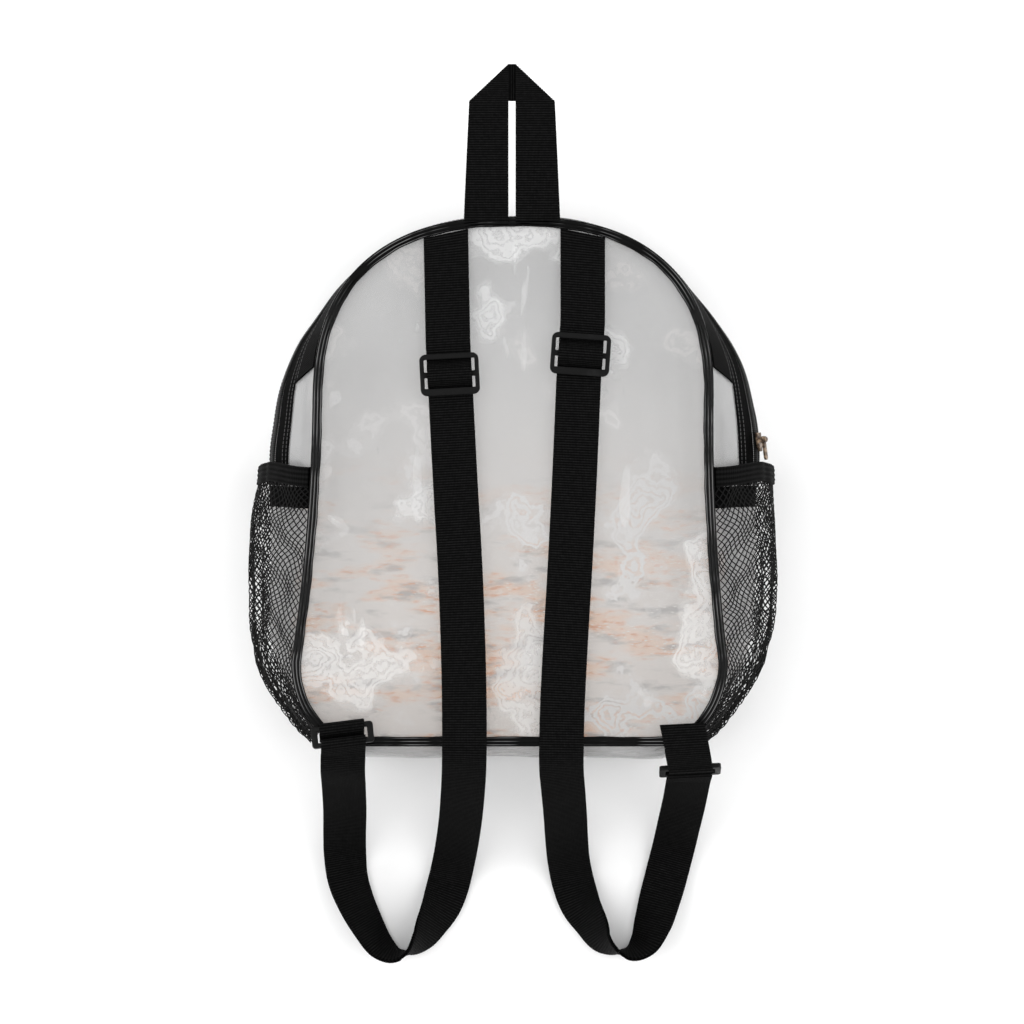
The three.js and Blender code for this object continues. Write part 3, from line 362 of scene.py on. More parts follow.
def shell(name, sections, across, along, looped=False, crease=40):
    """A closed skin over a run of loops: point j of loop i is joined to its neighbours on both
    loops, and a face caps each end unless the run is looped. The skin's volume, as the sum of
    its corners' triple products, says which way round its faces go."""
    count, around = sections.shape[:2]
    i, j = np.meshgrid(np.arange(count - (not looped)), np.arange(around), indexing="ij")
    steps = [(0, 0), (0, 1), (1, 1), (1, 0)]
    quads = np.stack([(i + a) % count * around + (j + b) % around for a, b in steps], -1)
    quad_uv = np.stack([stacked(across[j + b], along[i + a], 0)[..., :2] for a, b in steps], -2)
    faces, uv = [quads.reshape(-1, 4)], [quad_uv.reshape(-1, 4, 2)]
    points = sections.reshape(-1, 3)
    if not looped:
        ring = np.arange(around)
        last = ring + (count - 1) * around
        faces += [ring[None, ::-1], last[None]]
        ends = stacked(across[:-1], along[0], 0)[:, :2], stacked(across[:-1], along[-1], 0)[:, :2]
        uv += [ends[0][None, ::-1], ends[1][None]]
    middle = points - points.mean(0)
    volume = 0
    for f in faces:
        for k in range(1, f.shape[1] - 1):
            a, b, c = middle[f[:, 0]], middle[f[:, k]], middle[f[:, k + 1]]
            volume += np.einsum("ij,ij->", a, np.cross(b, c))
    if volume < 0:
        faces, uv = [f[:, ::-1] for f in faces], [u[:, ::-1] for u in uv]
    return mesh_from(name, points, faces, uv, crease)


def lifted(turn, z, surface, offset):
    """Points a distance from a surface along its normal, which the surface's slope tilts."""
    slope = (surface(turn, z + 1) - surface(turn, z - 1)) / 2
    size = np.hypot(1, slope)
    return outside(turn, surface(turn, z) + offset / size, z - offset * slope / size)


def wall(name, turn, z, surface, outer, inner):
    """A curved wall: each section runs up its outer face and down its inner one, both a set
    distance from a surface."""
    faces = lifted(turn, z, surface, outer), lifted(turn, z, surface, inner)[:, ::-1]
    sections = np.concatenate(faces, 1)
    up = z[0] if z.ndim == 2 else z
    across = np.concatenate([up, up[::-1], up[:1]])
    return shell(name, sections, across, turn[:, 0] * HALF_LENGTH)


def wall_grid(start, end, low, high, pitch=2.5):
    """Turns and heights of a wall's grid, both with steps of about the pitch."""
    columns = int((end - start) * HALF_LENGTH / pitch) + 2
    rows = max(int((high - low) / pitch) + 2, 4)
    return np.meshgrid(np.linspace(start, end, columns), np.linspace(low, high, rows), indexing="ij")


def copies(name, shape, faces, frames, centres):
    """One small shape set at many places: each copy's points are the shape's own times the three
    rows of its frame, plus its centre."""
    points = centres[:, None] + np.einsum("vk,nkc->nvc", shape, frames)
    offsets = np.arange(len(centres))[:, None, None] * len(shape)
    index = [(f[None] + offsets).reshape(-1, f.shape[1]) for f in faces]
    uv = [np.zeros((*f.shape, 2)) for f in index]
    return mesh_from(name, points.reshape(-1, 3), index, uv, 60)


def bar_shape(sides, swell):
    """A unit bar along its own x from -1/2 to 1/2: rings of a regular polygon whose radius swells
    as an ellipse, with its two ends closed."""
    x = np.array([-0.5, -0.38, 0.38, 0.5])
    radius = np.array([swell, 1, 1, swell]) / 2
    angle = np.linspace(0, 2 * np.pi, sides, endpoint=False) + np.pi / sides
    shape = stacked(x[:, None], radius[:, None] * np.cos(angle), radius[:, None] * np.sin(angle))
    i, j = np.meshgrid(np.arange(3), np.arange(sides), indexing="ij")
    nxt = (j + 1) % sides
    quads = np.stack([i * sides + j, (i + 1) * sides + j, (i + 1) * sides + nxt, i * sides + nxt], -1)
    ring = np.arange(sides)
    caps = np.stack([ring, ring[::-1] + 3 * sides])
    return shape.reshape(-1, 3), [quads.reshape(-1, 4)[:, ::-1], caps]


def stitch_row(name, line, normal, pitch=2.6, length=1.9, thread=0.55):
    """Stitches along a line: small bars that lie on it, end to end with a gap between."""
    at = lengths_along(line)
    place = np.arange(pitch / 2, at[-1], pitch)
    along = unit(read_at(place + 0.5, at, line) - read_at(place - 0.5, at, line))
    upward = unit(read_at(place, at, normal))
    side = np.cross(upward, along)
    frames = np.stack([along * length, side * thread, upward * thread * 0.8], 1)
    shape, faces = bar_shape(6, 0.35)
    return copies(name, shape, faces, frames, read_at(place, at, line))


# Finishes


class Value:
    """A number that varies over a surface. Arithmetic on it adds Math nodes."""

    def __init__(self, finish, socket):
        self.finish = finish
        self.socket = socket

    def math(self, operation, *others):
        sockets = {k: other for k, other in enumerate((self, *others))}
        return self.finish.node("ShaderNodeMath", {"operation": operation}, sockets).value()

    def __add__(self, other):
        return self.math("ADD", other)

    __radd__ = __add__

    def __sub__(self, other):
        return self.math("SUBTRACT", other)

    def __rsub__(self, other):
        return self.math("MULTIPLY", -1) + other

    def __mul__(self, other):
        return self.math("MULTIPLY", other)

    __rmul__ = __mul__

    def __pow__(self, other):
        return self.math("POWER", other)

    def wave(self, pitch):
        """A cosine of this value with the pitch given, between 0 and 1."""
        return (self * (2 * np.pi / pitch)).math("COSINE") * 0.5 + 0.5

    def over(self, low, high):
        """0 below low and 1 above high, eased between."""
        settings = {"interpolation_type": "SMOOTHSTEP"}
        sockets = {"Value": self, "From Min": low, "From Max": high}
        return self.finish.node("ShaderNodeMapRange", settings, sockets).value()


class Node:
    """One shader node and its outputs."""

    def __init__(self, finish, node):
        self.finish = finish
        self.node = node

    def value(self, output=0):
        return Value(self.finish, self.node.outputs[output])

    def out(self, output=0):
        return self.node.outputs[output]


class Finish:
    """A material under construction."""

    def __init__(self, name):
        self.material = bpy.data.materials.new(name)
        self.material.use_nodes = True
        self.tree = self.material.node_tree
        self.tree.nodes.clear()

    def node(self, kind, settings=None, sockets=None):
        """A node of a kind: its settings are made first, then each socket takes a value or link."""
        node = self.tree.nodes.new(kind)
        for name, setting in (settings or {}).items():
            setattr(node, name, setting)
        for name, given in (sockets or {}).items():
            link = given.socket if isinstance(given, Value) else given
            if isinstance(link, bpy.types.NodeSocket):
                self.tree.links.new(link, node.inputs[name])
            else:
                node.inputs[name].default_value = link
        return Node(self, node)

    def place(self):
        return self.node("ShaderNodeTexCoord").out("Object")

    def cloth(self):
        """The piece's own millimetres: across and along its cloth."""
        parts = self.node("ShaderNodeSeparateXYZ", sockets={0: self.node("ShaderNodeUVMap").out()})
        return parts.value(0), parts.value(1)

    def parts(self):
        parts = self.node("ShaderNodeSeparateXYZ", sockets={0: self.place()})
        return parts.value(0), parts.value(1), parts.value(2)

    def noise(self, scale, detail=3, where=None):
        sockets = {"Vector": where or self.place(), "Scale": scale, "Detail": detail}
        return self.node("ShaderNodeTexNoise", sockets=sockets).value("Fac")

    def strewn(self, scale, where=None):
        """The distance to the nearest of many strewn points."""
        sockets = {"Vector": where or self.place(), "Scale": scale}
        return self.node("ShaderNodeTexVoronoi", sockets=sockets).value()

    def stretched(self, across, along):
        """Object coordinates with a pattern's repeats along X and Y made that many times closer."""
        sockets = {"Vector": self.place(), "Scale": (across, along, 1)}
        return self.node("ShaderNodeMapping", {"vector_type": "POINT"}, sockets).out()

    def blooms(self, scale, edge, vein, depth):
        """Patches where a fractal noise is high, with fine lines along the noise's contours."""
        swirl = self.noise(scale, 8)
        lines = (swirl * 60).wave(vein).over(0.1, 0.5)
        return swirl.over(edge, 0.6) * (lines * depth + (1 - depth))

    def colour(self, factor, first, second):
        settings = {"data_type": "RGBA", "blend_type": "MIX"}
        sockets = {0: factor, 6: first, 7: second}
        return self.node("ShaderNodeMix", settings, sockets).out(2)

    def bump(self, height, distance, strength=1.0):
        sockets = {"Height": height, "Distance": distance * MM, "Strength": strength}
        return self.node("ShaderNodeBump", sockets=sockets).out()

    def skin(self, **sockets):
        """A Principled surface, its socket names written with underscores."""
        named = {name.replace("_", " "): value for name, value in sockets.items()}
        return self.node("ShaderNodeBsdfPrincipled", sockets=named).out()

    def film(self, share, tint, body):
        """A film that shows its body by its share and lets the rest of the light straight through."""
        clear = self.node("ShaderNodeBsdfTransparent", sockets={"Color": grey(tint)}).out()
        return self.node("ShaderNodeMixShader", sockets={0: share, 1: clear, 2: body}).out()

    def done(self, surface):
        self.node("ShaderNodeOutputMaterial", sockets={"Surface": surface})
        return self.material


def grey(level, warmth=0.0):
    """A grey whose red is raised and whose blue is lowered by the same share."""
    return (level * (1 + warmth), level, level * (1 - warmth), 1)


def webbing_finish():
    """Ribbed webbing: yarns side by side across it. Its colour is painted lighter on the rib and yarn
    tops and darker between them, a painted highlight and shade, and random lint lightens it in
    patches.
    """
    f = Finish("black_webbing")
    level = 0.0017
    across, along = f.cloth()
    yarn = across.wave(0.95)
    rib = along.wave(RIB_PITCH)
    lint = f.noise(420, 4)
    # painted highlight on the rib and yarn tops and painted shade between them, times random lint
    shade = (lint.over(0.3, 0.7) * 0.5 + 0.5) * (rib * 0.7 + yarn * 0.3) ** 2
    base = f.colour(shade, grey(level * 0.05), grey(level * 8))
    height = yarn * 0.4 + rib * 0.6 + lint * 0.2
    rough = lint * 0.15 + 0.6
    normal = f.bump(height, 0.3)
    return f.done(f.skin(Base_Color=base, Roughness=rough, Normal=normal, Specular_IOR_Level=0.03))


def elastic_finish():
    """Knitted elastic: rubber cords under its length stand out as ridges, with painted shade
    darkening the grooves between them and the ridge tops painted lighter.
    """
    f = Finish("ribbed_elastic")
    across, along = f.cloth()
    ridge = across.wave(ELASTIC_WIDTH / 4)
    knit = along.wave(0.9)
    # painted shade in the grooves and painted highlight on the ridge tops, with a fainter knit
    # pattern along it
    shade = ridge * (knit * 0.3 + 0.7)
    base = f.colour(shade, grey(0.0002), grey(0.006))
    normal = f.bump(knit, 0.12)
    return f.done(f.skin(Base_Color=base, Roughness=0.62, Normal=normal, Specular_IOR_Level=0.03))


def tape_finish():
    """Woven zip tape: a fine slanting twill."""
    f = Finish("zip_tape_twill")
    across, along = f.cloth()
    twill = (across + along).wave(0.9)
    fuzz = f.noise(900, 3)
    base = f.colour(twill * 0.5 + fuzz * 0.4, grey(0.0002), grey(0.0016))
    normal = f.bump(twill * 0.7 + fuzz * 0.4, 0.15)
    return f.done(f.skin(Base_Color=base, Roughness=0.72, Normal=normal, Specular_IOR_Level=0.025))


def binding_finish():
    """Glossy coated tape with a fine grain. Its UV runs with the distance in from its outer edge, so
    a cosine of it finds the crests, which carry a painted highlight, lighter in broken lines."""
    f = Finish("gloss_binding")
    grain = f.noise(1500, 2)
    across, _ = f.cloth()
    # painted highlight: thin lighter lines along the ridge crests, broken by noise, in place of
    # glints
    crest = (across + RIDGE_START).wave(RIDGE_PITCH).over(0.8, 1) * f.noise(35, 3).over(0.4, 0.6)
    rub = f.noise(60, 4).over(0.52, 0.7)
    base = f.colour(crest, f.colour(rub, grey(0.0008), grey(0.0025)), grey(0.13))
    rough = rub * 0.08 + grain * 0.04 + 0.1
    normal = f.bump(grain, 0.05)
    return f.done(f.skin(Base_Color=base, Roughness=rough, Normal=normal, Specular_IOR_Level=0.1))


def thread_finish(name, level, rough=0.6):
    """Twisted thread or moulded nylon: a slight sheen broken by fine noise."""
    f = Finish(name)
    fine = f.noise(700, 3)
    base = f.colour(fine, grey(level * 0.5), grey(level * 1.7))
    normal = f.bump(fine, 0.1)
    rough = fine * 0.2 + rough
    return f.done(f.skin(Base_Color=base, Roughness=rough, Normal=normal, Specular_IOR_Level=0.1))


def moulded_finish():
    """Moulded black nylon: a fine spark-eroded grain, and edges rubbed a little brighter."""
    f = Finish("moulded_nylon")
    grain = f.noise(1300, 2)
    rub = f.noise(160, 3).over(0.5, 0.72)
    base = f.colour(rub, grey(0.003), grey(0.008))
    rough = rub * -0.1 + 0.42
    normal = f.bump(grain, 0.06)
    return f.done(f.skin(Base_Color=base, Roughness=rough, Normal=normal, Specular_IOR_Level=0.12))


def brass_finish():
    """Antique brass: dark in its hollows and rubbed yellow on its high places."""
    f = Finish("antique_brass")
    patina = f.noise(330, 4).over(0.38, 0.66)
    fine = f.noise(1700, 2)
    base = f.colour(patina, (0.05, 0.035, 0.027, 1), (0.34, 0.245, 0.17, 1))
    rough = patina * -0.16 + 0.5
    return f.done(f.skin(Base_Color=base, Roughness=rough, Metallic=0.95, Normal=f.bump(fine, 0.05)))


def film_finish():
    """Clear vinyl: the surface lets most light straight through, more shows at a slant, and soft
    waves in its gloss break up reflections."""
    f = Finish("clear_vinyl")
    waves = f.noise(16, 2) * 0.8 + f.noise(70, 2) * 0.12
    normal = f.bump(waves, 9)
    rim = f.node("ShaderNodeLayerWeight", sockets={"Blend": 0.42, "Normal": normal}).value("Fresnel")
    haze = f.noise(240, 3).over(0.55, 0.9)
    rough = haze * 0.08 + 0.04
    body = f.skin(Base_Color=grey(0.5), Roughness=rough, Normal=normal, Specular_IOR_Level=0.9)
    return f.done(f.film(rim * 0.52 + 0.2, 0.965, body))


def milky_finish():
    """The back panel's vinyl: milky grey, a little warmer low down, with long scuffs and pale blooms
    where it lets less light through."""
    f = Finish("milky_vinyl")
    _, up, _ = f.parts()
    warm = (up * -1).over(-0.02, 0.17)
    cloud = f.noise(9, 3)
    base = f.colour(warm, grey(0.74), grey(0.73, 0.02))
    bloom = f.blooms(15, 0.555, 1.7, 0.55)
    scuff = f.noise(5, 9, f.stretched(9, 2)).over(0.66, 0.7)
    waves = f.noise(11, 2) + f.noise(45, 2) * 0.1
    normal = f.bump(waves, 3)
    body = f.skin(Base_Color=base, Roughness=cloud * 0.1 + 0.16, Normal=normal)
    return f.done(f.film(cloud * 0.06 + 0.13 + bloom * 0.3 + scuff * 0.12, 0.995, body))


def printed_finish():
    """The front panel's print of blurred night lights. Outside it is a dusk gradient with soft clouds
    and round spots of light. Inside it is a pale ghost: warm mist, grey and orange streaks, blooms
    and sparks over a light ground."""
    f = Finish("printed_vinyl")
    _, up, rise = f.parts()
    dusk = up.over(-0.15, 0.13)
    clouds = f.noise(13, 5)
    low = (up * -1).over(-0.03, 0.1)
    spots = (1 - f.strewn(75).over(0.16, 0.24)) * clouds.over(0.45, 0.6) * low
    discs = (1 - f.strewn(26).over(0.24, 0.27)) * 0.35 * low
    sky = f.colour(dusk, (0.16, 0.075, 0.04, 1), (0.012, 0.018, 0.045, 1))
    sky = f.colour(clouds.over(0.4, 0.75) * 0.5, sky, (0.06, 0.075, 0.13, 1))
    lit = f.colour((spots + discs).math("MINIMUM", 1), sky, (0.95, 0.55, 0.22, 1))
    streaks = f.stretched(1, 3.2)
    pale = f.colour(dusk, (0.90, 0.83, 0.78, 1), (0.83, 0.83, 0.83, 1))
    mist = f.noise(15, 4, streaks).over(0.45, 0.62) * low
    pale = f.colour(mist * 0.8, pale, (1.0, 0.62, 0.4, 1))
    murk = (1 - f.noise(36, 8, streaks).over(0.3, 0.5)) * low
    pale = f.colour(murk * 0.85, pale, (0.3, 0.28, 0.28, 1))
    ember = f.noise(120, 9, streaks).over(0.5, 0.68) * mist
    pale = f.colour(ember, pale, (0.85, 0.36, 0.16, 1))
    pale = f.colour(f.blooms(17, 0.545, 2.4, 0.6), pale, (1.0, 0.98, 0.97, 1))
    sparks = (1 - f.strewn(190, streaks)).over(0.7, 0.88) * clouds.over(0.42, 0.55) * low
    ghost = f.colour(sparks, pale, (1, 0.97, 0.92, 1))
    inside = rise.over(0.0004, 0.0008)
    base = f.colour(inside, lit, ghost)
    return f.done(f.skin(Base_Color=base, Roughness=clouds * 0.1 + 0.18, Normal=f.bump(clouds, 2)))


def floor_finish():
    """A matt, nearly white floor with faint clouds."""
    f = Finish("pale_floor")
    fine = f.noise(30, 3)
    return f.done(f.skin(Base_Color=f.colour(fine, grey(0.93), grey(0.95)), Roughness=0.85))


# Pieces


def dress(name, mesh, finish, slot, *nodes, body="pack"):
    """Puts a piece into the scene on its body, in place of the nodes that it stands for."""
    piece = bpy.data.objects.new(name, mesh)
    bpy.context.scene.collection.objects.link(piece)
    mesh.materials.append(finish)
    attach(piece, body)
    if nodes:
        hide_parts(*nodes)
    return piece


def make_panels(milky, printed):
    """Both panels are plates: rings run from the middle of the lower face out to the rim and back
    to the middle of the upper face. A ring is the outline drawn in towards the middle. The back
    panel hangs by the root of a parabola each way, dented by crossed sines."""
    around = 320
    turn = np.linspace(0, 2, around + 1)[:-1]
    shares = np.linspace(0.03, 1, 28)[:, None]

    def plate(name, rim_out, inset, height, thickness):
        rim = outside(turn, rim_out - SEAM, 0)
        field = outside(turn, rim_out - inset, 0)
        rings = field[None] * shares[..., None]
        rings = np.concatenate([rings, rim[None]])
        lower, upper = rings.copy(), rings.copy()
        lower[..., 2] = height(rings) - thickness / 2
        upper[..., 2] = height(rings) + thickness / 2
        sections = np.concatenate([lower, upper[::-1]])
        along = np.arange(len(sections), dtype=float)
        return shell(name, sections, np.arange(around + 1.0), along, crease=50)

    margin = BINDING_TOP + 2

    def hang(points):
        x, y = points[..., 0], points[..., 1]
        edge = np.clip(1 - (x / HIP_HALF) ** 2, 0, 1) * np.clip(1 - (y / HALF_HEIGHT) ** 2, 0, 1)
        dents = np.sin(x / 31 + y / 57) + 0.7 * np.sin(y / 26 - x / 70 + 2)
        dents = dents + 0.3 * np.sin(x / 13 + 1)
        return DEPTH - FILM / 2 - (PANEL_SAG - 0.45 * dents) * np.sqrt(edge)

    back = plate("back_film", 0, margin, hang, FILM)
    dress("back_film", back, milky, "frosted_film", "back_panel")

    flare = flare_at(turn)

    def lie(points):
        out = np.arange(len(points))[:, None] >= len(points) - 2
        return np.where(out, SEAM + 0.6, 0.6) * np.ones(points.shape[:2])

    front = plate("front_print", flare, margin + 3, lie, 1.2)
    dress("front_print", front, printed, "printed_film", "front_panel")


def make_gussets(film, tape):
    """Walls on the gusset's surface: film on both sides of the zip, film round the bottom, and a
    thicker patch at each end of the zip."""
    end = turn_at_height(ZIP_END_HEIGHT)
    patch_end = end + PATCH_WIDTH / HALF_LENGTH
    gap_turn = GAP / HALF_LENGTH
    skin = [gusset_out, 0, -FILM]
    rear = wall("rear_film", *wall_grid(-end, end, TAPE_FOOT + TAPE_RISE + GAP, GUSSET_TOP), *skin)
    dress("rear_film", rear, film, "clear_film", "zip_gusset_rear")
    low_grid = wall_grid(-end, end, GUSSET_BOTTOM, TAPE_HEAD - TAPE_RISE - GAP)
    front = wall("front_film", *low_grid, *skin)
    dress("front_film", front, film, "clear_film", "zip_gusset_front")
    start = patch_end + gap_turn
    low = wall("bottom_film", *wall_grid(start, 2 - start, GUSSET_BOTTOM, GUSSET_TOP), *skin)
    dress("bottom_film", low, film, "clear_film", "bottom_gusset")
    for name, turns in (
        ("left", (-patch_end, -end - gap_turn)),
        ("right", (end + gap_turn, patch_end)),
    ):
        grid = wall_grid(*turns, GUSSET_BOTTOM, GUSSET_TOP, 1.5)
        patch = wall("end_patch_" + name, *grid, gusset_out, 0, -PATCH_THICKNESS)
        dress("end_patch_" + name, patch, tape, "webbing", "zip_end_patch_" + name)


def surface_line(turns, z, lift):
    """A line on the gusset at one height, lifted off it, with the outward directions along it."""
    z = np.full_like(turns, z)
    slope = (gusset_out(turns, z + 1) - gusset_out(turns, z - 1)) / 2
    _, _, nx, ny = edge_at(turns)
    normal = unit(stacked(nx, ny, -slope))
    return outside(turns, gusset_out(turns, z), z) + normal * lift, normal


def make_zip(tape, coil, thread):
    """Two tapes with a row of stitches near each film edge, and between them the coil, whose
    teeth are bars that lean a little, side by side along the line of the zip."""
    end = turn_at_height(ZIP_END_HEIGHT)
    for name, low in (("zip_tape_rear", TAPE_FOOT), ("zip_tape_front", TAPE_HEAD - TAPE_RISE)):
        grid = wall_grid(-end, end, low, low + TAPE_RISE, 1.5)
        mesh = wall(name, *grid, gusset_out, 0.1, -TAPE_THICKNESS)
        dress(name + "_cloth", mesh, tape, "webbing", name)
    turns = np.linspace(-end, end, 900)
    rows = (
        ("rear", TAPE_FOOT + TAPE_RISE - 2),
        ("rear_inner", TAPE_FOOT + TAPE_RISE - 5.5),
        ("front", TAPE_HEAD - TAPE_RISE + 2),
        ("front_inner", TAPE_HEAD - TAPE_RISE + 5.5),
    )
    for name, height in rows:
        mesh = stitch_row("zip_stitches_" + name, *surface_line(turns, height, 0.25))
        dress("zip_stitches_" + name, mesh, thread, "webbing")
    line, normal = surface_line(turns, ZIP_HEIGHT, 0.5)
    at = lengths_along(line)
    place = np.arange(0.7, at[-1] - 0.4, 1.25)
    ahead = np.gradient(line, at, axis=0)
    centres, outward = read_at(place, at, line), read_at(place, at, normal)
    along = unit(read_at(place, at, ahead))
    side = unit(np.cross(outward, along))
    slant = unit(side + 0.22 * along)
    frames = np.stack([slant * COIL_WIDTH, along * 0.95, unit(outward) * 2.3], 1)
    shape, faces = bar_shape(8, 0.4)
    dress("zip_teeth", copies("zip_teeth", shape, faces, frames, centres), coil, "zip_teeth")
    core = stacked(0, np.linspace(-2.3, 2.3, 7), 0)[:, 1]
    crown, sole = stacked(core, 0.75 - 0.06 * core**2, 0), stacked(core[::-1], -0.6, 0)
    ridge = np.concatenate([crown, sole])[:, :2]
    cross = unit(np.cross(ahead, normal))[:, None]
    sections = line[:, None] + ridge[None, :, :1] * cross + ridge[None, :, 1:] * normal[:, None]
    across = np.concatenate([ridge[:, 0], ridge[:1, 0]])
    dress("zip_core", shell("zip_core", sections, across, at), coil, "zip_teeth", "zip_coil")


def make_top_band(webbing, thread):
    """The band lies on the film over the arch. Its ends are cut on a slant: each height's turns
    are drawn in by its share of the slant."""
    low, high = TAPE_FOOT + TAPE_RISE + 1, GUSSET_HEAD - 2 * GAP - BAND_THICKNESS
    end = turn_at_height(BAND_END_HEIGHT)
    turns = np.linspace(-1, 1, 420)[:, None]
    z = np.linspace(low, high, 12)[None] + 0 * turns
    drawn = end - BAND_SLANT / HALF_LENGTH * (z - low) / (high - low)
    turn = turns * drawn
    mesh = wall("arch_band", turn, z, gusset_out, GAP + BAND_THICKNESS, GAP)
    dress("arch_band", mesh, webbing, "webbing", "top_band")
    line, normal = surface_line(np.linspace(-end, end, 700) * 0.985, low + 2, GAP + BAND_THICKNESS)
    dress("band_stitches", stitch_row("band_stitches", line, normal), thread, "webbing")


def make_bindings(gloss, thread):
    """A binding's section is an angle: its top carries two round ridges and a bead at the outer
    edge, as cosines of the distance in from that edge, and its leg stands outside the gusset. The
    inner edge sways by two sines of the way round."""
    turn = np.linspace(0, 2, 1001)[:-1]

    def ring(name, out, crown, sign):
        inward = np.linspace(BINDING_TOP, 0.35, 22)
        ridges = RIDGE_RISE * np.cos(2 * np.pi * (inward - RIDGE_START) / RIDGE_PITCH)
        top = stacked(-inward, ridges, 0)[:, :2]
        top[0, 1] = -0.55
        leg = np.array([[0.05, 0.05], [0.22, -0.6], [0.1, -2], [0, -BINDING_LEG - 0.9]])
        inside = np.array([[-0.75, -BINDING_LEG - 0.9], [-0.75, -2]])
        under = np.array([[-1, -BINDING_THICKNESS], [-BINDING_TOP, -0.85]])
        profile = np.concatenate([top, leg, inside, under])
        wave = 0.16 * np.sin(turn * HALF_LENGTH / 7) + 0.1 * np.sin(turn * HALF_LENGTH / 2.9)
        offset = out[:, None] + profile[None, :, 0] + wave[:, None] * (profile[None, :, 0] < -4)
        sections = outside(turn[:, None], offset, crown + sign * profile[None, :, 1])
        across = np.append(profile[:, 0], profile[0, 0])
        along = np.append(turn, 2) * HALF_LENGTH
        return shell(name, sections, across, along, looped=True, crease=60)

    back = ring("back_piping", np.zeros_like(turn), BINDING_CROWN, 1)
    dress("back_piping", back, gloss, "binding_tape", "back_binding")
    front = ring("front_piping", flare_at(turn), 0.35, -1)
    dress("front_piping", front, gloss, "binding_tape", "front_binding")
    line = outside(turn, -3.1, BINDING_CROWN - 0.12)
    normal = np.broadcast_to(UP, line.shape)
    row = stitch_row("piping_stitches", line, normal, pitch=3, length=2, thread=0.45)
    dress("piping_stitches", row, thread, "binding_tape")


def pocket_heights(count):
    """Heights across a pocket from one binding to the other, closer at both ends: half a cosine."""
    low, high = BINDING_LEG / 2, DEPTH - BINDING_LEG / 2
    return low + (high - low) * (1 - np.cos(np.linspace(0, np.pi, count))) / 2


def bow(z):
    """How far a pocket's mouth rises towards the handle, in turns: a squared sine with one crest
    on either side of the pocket's widest line."""
    return MOUTH_BOW / HALF_LENGTH * np.sin(2 * np.pi * z / DEPTH) ** 2


def make_pockets(net, elastic):
    """Each pocket is a net of crossing threads over the pocket's surface: the surface is read on a
    grid of knots, every second one is used, and a thin bar joins each to its two neighbours on
    the next row. Sines sway the knots, and an elastic band closes the mouth."""
    top = turn_at_height(ELASTIC_TOP)
    mouth = top + ELASTIC_WIDTH / HALF_LENGTH
    foot = turn_at_height(POCKET_FOOT - HALF_HEIGHT)
    fine = pocket_heights(400)
    reach = outside(mouth, pocket_out(mouth, fine), fine)
    length = lengths_along(reach)
    columns = 2 * int(length[-1] / NET_CELL)
    rows = 2 * int((foot - mouth) * HALF_LENGTH / (1.15 * NET_CELL)) + 1
    heights = np.interp(np.linspace(0, length[-1], columns + 1), length, fine)
    shape, faces = bar_shape(4, 0.7)
    for name, side in (("left", -1), ("right", 1)):
        turns = side * np.linspace(mouth - 1 / HALF_LENGTH, foot, rows + 1)
        i, j = np.meshgrid(np.arange(rows + 1), np.arange(columns + 1), indexing="ij")
        sway = np.sin(j / 5 + i / 9) + 0.7 * np.sin(j / 2.3 - i / 4 + 1) - 0.5 * np.sin(i / 2 + j / 3)
        mouthward = (1 - i / rows) ** 2
        turn = turns[i] + 0.3 * NET_CELL / HALF_LENGTH * sway * (i < rows)
        turn = turn - side * bow(heights[j]) * mouthward
        inward = np.clip(np.minimum(j, columns - j) / 6, 0, 1)
        z = heights[j] + 0.3 * NET_CELL * inward * (np.sin(i / 4 + j / 7) + np.sin(i / 1.9 - j / 4))
        knots = outside(turn, pocket_out(turn, z) + 0.5, z)
        normal = unit(np.cross(np.gradient(knots, axis=0), np.gradient(knots, axis=1))) * -side
        starts, ends = [], []
        for step in (-1, 1):
            use = ((i + j) % 2 == 0) & (i < rows) & (j + step >= 0) & (j + step <= columns)
            starts.append(i[use] * (columns + 1) + j[use])
            ends.append((i[use] + 1) * (columns + 1) + j[use] + step)
        start, end = np.concatenate(starts), np.concatenate(ends)
        flat, flat_normal = knots.reshape(-1, 3), normal.reshape(-1, 3)
        along = flat[end] - flat[start]
        across = unit(np.cross(flat_normal[start], along))
        thickness = flat_normal[start] * NET_THREAD * 0.7
        frames = np.stack([along * 1.12, across * NET_THREAD, thickness], 1)
        centres = (flat[start] + flat[end]) / 2
        mesh = copies("pocket_net_" + name, shape, faces, frames, centres)
        dress("pocket_net_" + name, mesh, net, "net", "pocket_mesh_" + name)
        make_elastic(name, side, top, mouth, elastic)


def make_elastic(name, side, top, mouth, elastic):
    """The band's outer face carries four ridges along its length, as a cosine of the share across
    it, and thins towards both edges."""
    width = np.linspace(0, 1, 25)
    share, z = np.meshgrid(width, pocket_heights(160), indexing="ij")
    turn = side * (top + (mouth - top) * share - bow(z))
    ridges = 0.2 * np.cos(2 * np.pi * 4 * share)
    edge = np.clip(np.minimum(share, 1 - share) * 12, 0, 1)
    outer = lifted(turn, z, pocket_out, (ELASTIC_THICKNESS + ridges) * (0.7 + 0.3 * edge))
    inner = lifted(turn, z, pocket_out, 0)
    sections = np.concatenate([outer, inner[::-1]]).swapaxes(0, 1)
    across = np.concatenate([width, width[::-1], width[:1]]) * ELASTIC_WIDTH
    mesh = shell("elastic_band_" + name, sections, across, z[0])
    dress("elastic_band_" + name, mesh, elastic, "webbing", "pocket_elastic_" + name)


def ribbed(heights, along):
    """Heights over the middle of the webbing at each place along it: they fall towards the middle
    between the ribs, with the cosine of the way along."""
    rise = RIB_RISE * (np.cos(2 * np.pi * along / RIB_PITCH) - 1) / 2
    return heights[None] * (1 + rise[:, None] / (WEB_THICKNESS / 2))


